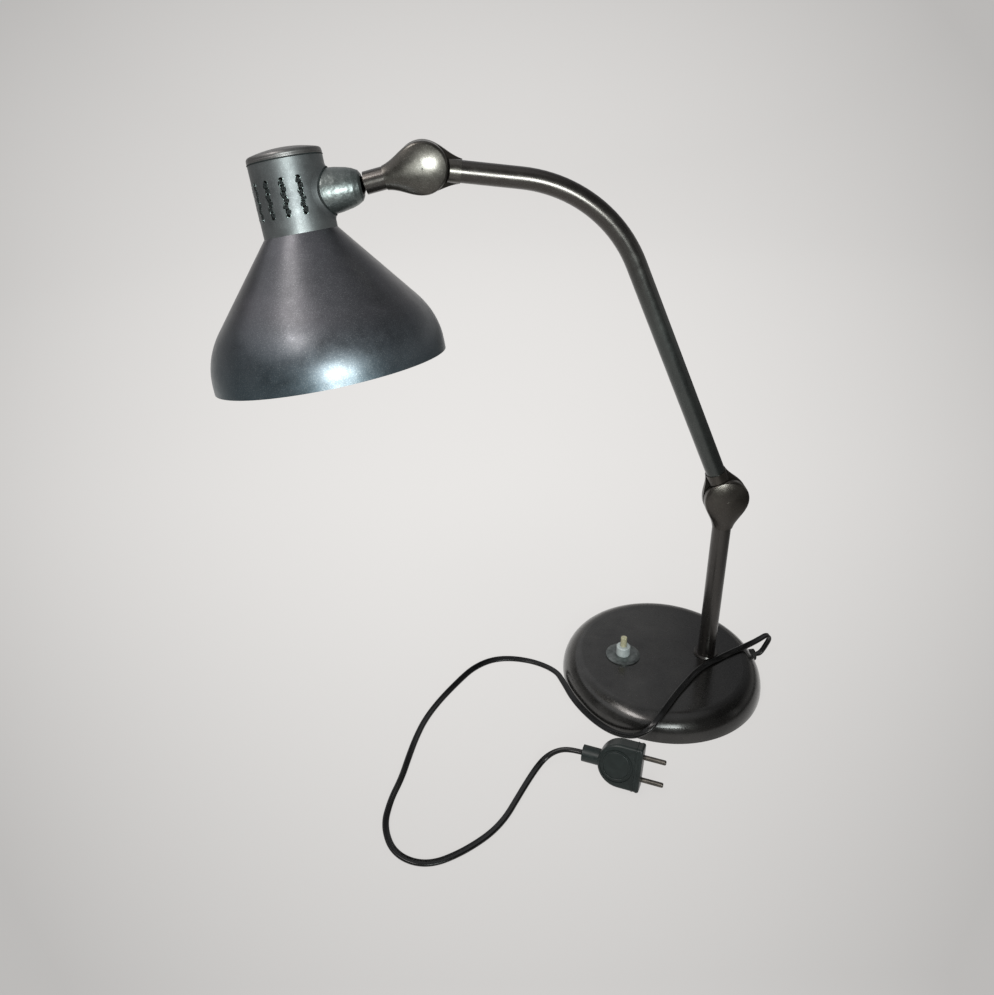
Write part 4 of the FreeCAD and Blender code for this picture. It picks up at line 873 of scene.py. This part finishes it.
def paper():
    """Pale matt background paper. Most of what cameras and reflections see is its own tone, so
    that it stays pale, and the rest takes light and shadow as paper does. The tone is fullest
    behind the lamp and falls off with the square of the way to the sides, front, back and top:
    a painted pool of light. In front and low on the right the lamp's gloss sees it black
    instead, a painted reflection of the unlit room. A camera under the floor looks through it,
    to see the lamp's underside."""
    made, tree = new_material("pale_background_paper")
    made.cycles.emission_sampling = "NONE"
    ray = add(tree, "LightPath")
    at = add(tree, "TexCoord").outputs["Object"]
    place = add(tree, "SeparateXYZ", {"Vector": at})
    x, y, z = (place.outputs[axis] for axis in "XYZ")

    # How far its tone falls off, as a painted pool of light. To the sides that goes by the slope
    #     x / y from in front of the lamp, within limits. Places are in metres.
    from_front = add(tree, "VectorMath", {0: at, 1: (0.16, 1.05, 0.0)}, operation="ADD")
    from_front = add(tree, "SeparateXYZ", {"Vector": from_front.outputs[0]}).outputs
    slope = add(tree, "Math", {0: from_front["X"], 1: from_front["Y"]}, operation="DIVIDE")
    kept_slope = add(tree, "Clamp", {"Value": slope.outputs[0], "Min": -0.78, "Max": 0.6})
    ahead = add(tree, "MapRange", {"Value": y, "From Min": -0.8, "From Max": -0.4,
                                   "To Max": 1.02})
    sideways = add(tree, "Math", {0: kept_slope.outputs[0], 1: ahead.outputs[0]},
                   operation="MULTIPLY")
    near = add(tree, "MapRange", {"Value": y, "From Min": 0.45, "From Max": -0.29,
                                  "To Max": 0.48})
    deep = add(tree, "MapRange", {"Value": y, "From Min": 0.45, "From Max": 2.35,
                                  "To Max": 0.32})
    depth = add(tree, "Math", {0: near.outputs[0], 1: deep.outputs[0]}, operation="ADD")
    high = add(tree, "MapRange", {"Value": z, "From Min": 0.0, "From Max": 1.3, "To Max": 0.6})
    ways = add(tree, "CombineXYZ", {"X": sideways.outputs[0], "Y": depth.outputs[0],
                                    "Z": high.outputs[0]})
    square = add(tree, "VectorMath", {0: ways.outputs[0], 1: ways.outputs[0]},
                 operation="DOT_PRODUCT")
    rest = add(tree, "Math", {0: 1.0, 1: square.outputs["Value"]}, operation="SUBTRACT",
               use_clamp=True)
    least = add(tree, "Math", {0: ray.outputs["Is Camera Ray"], 1: paper_least},
                operation="MULTIPLY")
    fade = add(tree, "Math", {0: rest.outputs[0], 1: least.outputs[0]}, operation="MAXIMUM")
    tone = add(tree, "VectorMath", {0: colour(paper_tone)[:3], "Scale": fade.outputs[0]},
               operation="SCALE")

    # The paper's own tone for camera, gloss and glass, and a matt surface for all other light
    matt = add(tree, "BsdfDiffuse", {"Color": tone.outputs[0]})
    even = add(tree, "Emission", {"Color": tone.outputs[0], "Strength": 1.0})
    camera_or_gloss = add(tree, "Math", {0: ray.outputs["Is Camera Ray"],
                                         1: ray.outputs["Is Glossy Ray"]}, operation="ADD")
    looked_at = add(tree, "Math", {0: camera_or_gloss.outputs[0],
                                   1: ray.outputs["Is Transmission Ray"]}, operation="ADD")
    own_share = add(tree, "Math", {0: looked_at.outputs[0], 1: paper_own_share},
                    operation="MULTIPLY", use_clamp=True)
    lit = add(tree, "MixShader", {0: own_share.outputs[0], 1: matt.outputs[0],
                                  2: even.outputs[0]})

    # Painted reflection of the unlit room: black where the room is unlit, for gloss alone
    front = add(tree, "MapRange", {"Value": y, "From Min": -0.75, "From Max": -1.15,
                                   "To Max": 0.85})
    right = add(tree, "MapRange", {"Value": x, "From Min": 0.1, "From Max": 0.35,
                                   "To Max": 0.85})
    low = add(tree, "MapRange", {"Value": z, "From Min": 0.5, "From Max": 0.05})
    low_right = add(tree, "Math", {0: right.outputs[0], 1: low.outputs[0]},
                    operation="MULTIPLY")
    dark = add(tree, "Math", {0: front.outputs[0], 1: low_right.outputs[0]},
               operation="MAXIMUM")
    unlit = add(tree, "Math", {0: dark.outputs[0], 1: ray.outputs["Is Glossy Ray"]},
                operation="MULTIPLY")
    black = add(tree, "BsdfDiffuse", {"Color": colour(0x000000)})
    above = add(tree, "MixShader", {0: unlit.outputs[0], 1: lit.outputs[0],
                                    2: black.outputs[0]})

    # Clear to a camera under the floor
    under = add(tree, "NewGeometry").outputs["Backfacing"]
    from_below = add(tree, "Math", {0: under, 1: ray.outputs["Is Camera Ray"]},
                     operation="MULTIPLY")
    clear = add(tree, "BsdfTransparent")
    seen = add(tree, "MixShader", {0: from_below.outputs[0], 1: above.outputs[0],
                                   2: clear.outputs[0]})
    add(tree, "OutputMaterial", {"Surface": seen.outputs[0]})
    return made


sweep = make_sweep()
sweep.data.materials.append(paper())


room_least = 0.04  # what gloss sees in the darkest part of the room
even_strength = 0.6  # what matt surfaces get from all round


def make_room():
    """Room light. Matt surfaces get even light. Gloss sees a dark room in front, a paler left side
    and ceiling, and the bright background behind, less of it on the right."""
    world = bpy.data.worlds.new("room")
    bpy.context.scene.world = world
    world.use_nodes = True
    world.cycles.sampling_method = "NONE"
    world.node_tree.nodes.clear()
    tree = world.node_tree
    way = add(tree, "SeparateXYZ", {"Vector": add(tree, "TexCoord").outputs["Generated"]})
    x, y, z = (way.outputs[axis] for axis in "XYZ")
    back = add(tree, "MapRange", {"Value": y, "From Min": 0.05, "From Max": 0.6, "To Max": 0.7})
    not_right = add(tree, "MapRange", {"Value": x, "From Min": -0.05, "From Max": 0.35,
                                       "To Min": 1.0, "To Max": 0.3})
    behind = add(tree, "Math", {0: back.outputs[0], 1: not_right.outputs[0]},
                 operation="MULTIPLY")
    left = add(tree, "MapRange", {"Value": x, "From Min": -0.1, "From Max": -0.8,
                                  "To Max": 0.9})
    top = add(tree, "MapRange", {"Value": z, "From Min": 0.8, "From Max": 0.98, "To Max": 0.5})
    round_about = add(tree, "Math", {0: behind.outputs[0], 1: left.outputs[0]},
                      operation="MAXIMUM")
    brightest = add(tree, "Math", {0: round_about.outputs[0], 1: top.outputs[0]},
                    operation="MAXIMUM")
    level = add(tree, "Math", {0: brightest.outputs[0], 1: room_least}, operation="ADD")
    gloss = add(tree, "Background", {"Color": colour(0xF4F5F8), "Strength": level.outputs[0]})
    even = add(tree, "Background", {"Color": colour(0xE4E4E4), "Strength": even_strength})
    ray = add(tree, "LightPath")
    light = add(tree, "MixShader", {0: ray.outputs["Is Glossy Ray"], 1: even.outputs[0],
                                    2: gloss.outputs[0]})
    add(tree, "OutputWorld", {"Surface": light.outputs[0]})


make_room()


def softbox(name, place, aim, size, radiance, tint, spread=180.0):
    """Soft rectangular lamp that looks at a point: its power is radiance times pi times its area.
    A spread under 180 degrees narrows its beam, as a grid on its front does."""
    data = bpy.data.lights.new(name, "AREA")
    data.shape = "RECTANGLE"
    data.size, data.size_y = size
    data.energy = radiance * math.pi * size[0] * size[1]
    data.color = colour(tint)[:3]
    data.spread = math.radians(spread)
    lamp = bpy.data.objects.new(name, data)
    lamp.location = place
    from_aim = np.array(place) - np.array(aim)
    yaw = math.atan2(from_aim[1], from_aim[0]) + math.pi / 2
    pitch = math.acos(from_aim[2] / np.linalg.norm(from_aim))
    lamp.rotation_euler = (pitch, 0, yaw)
    lamp.visible_camera = False
    bpy.context.scene.collection.objects.link(lamp)


# Each lamp: place, the point it looks at, its two sides, radiance and tint
softbox("key_front_right", (-0.05, -0.85, 0.51), (-0.25, 0.0, 0.38), (0.40, 0.28), 5.9,
        0xF2FAF9, spread=70.0)
softbox("ceiling_front_left", (-1.5, -1.55, 2.7), (-0.2, -1.55, 0.25), (1.1, 0.7), 13.0,
        0xFAF5F2)
softbox("ceiling_left", (-1.5, -0.3, 2.7), (-0.2, -0.3, 0.25), (1.4, 0.7), 5.0, 0xFAF5F2)

bpy.context.scene.view_settings.view_transform = "Standard"
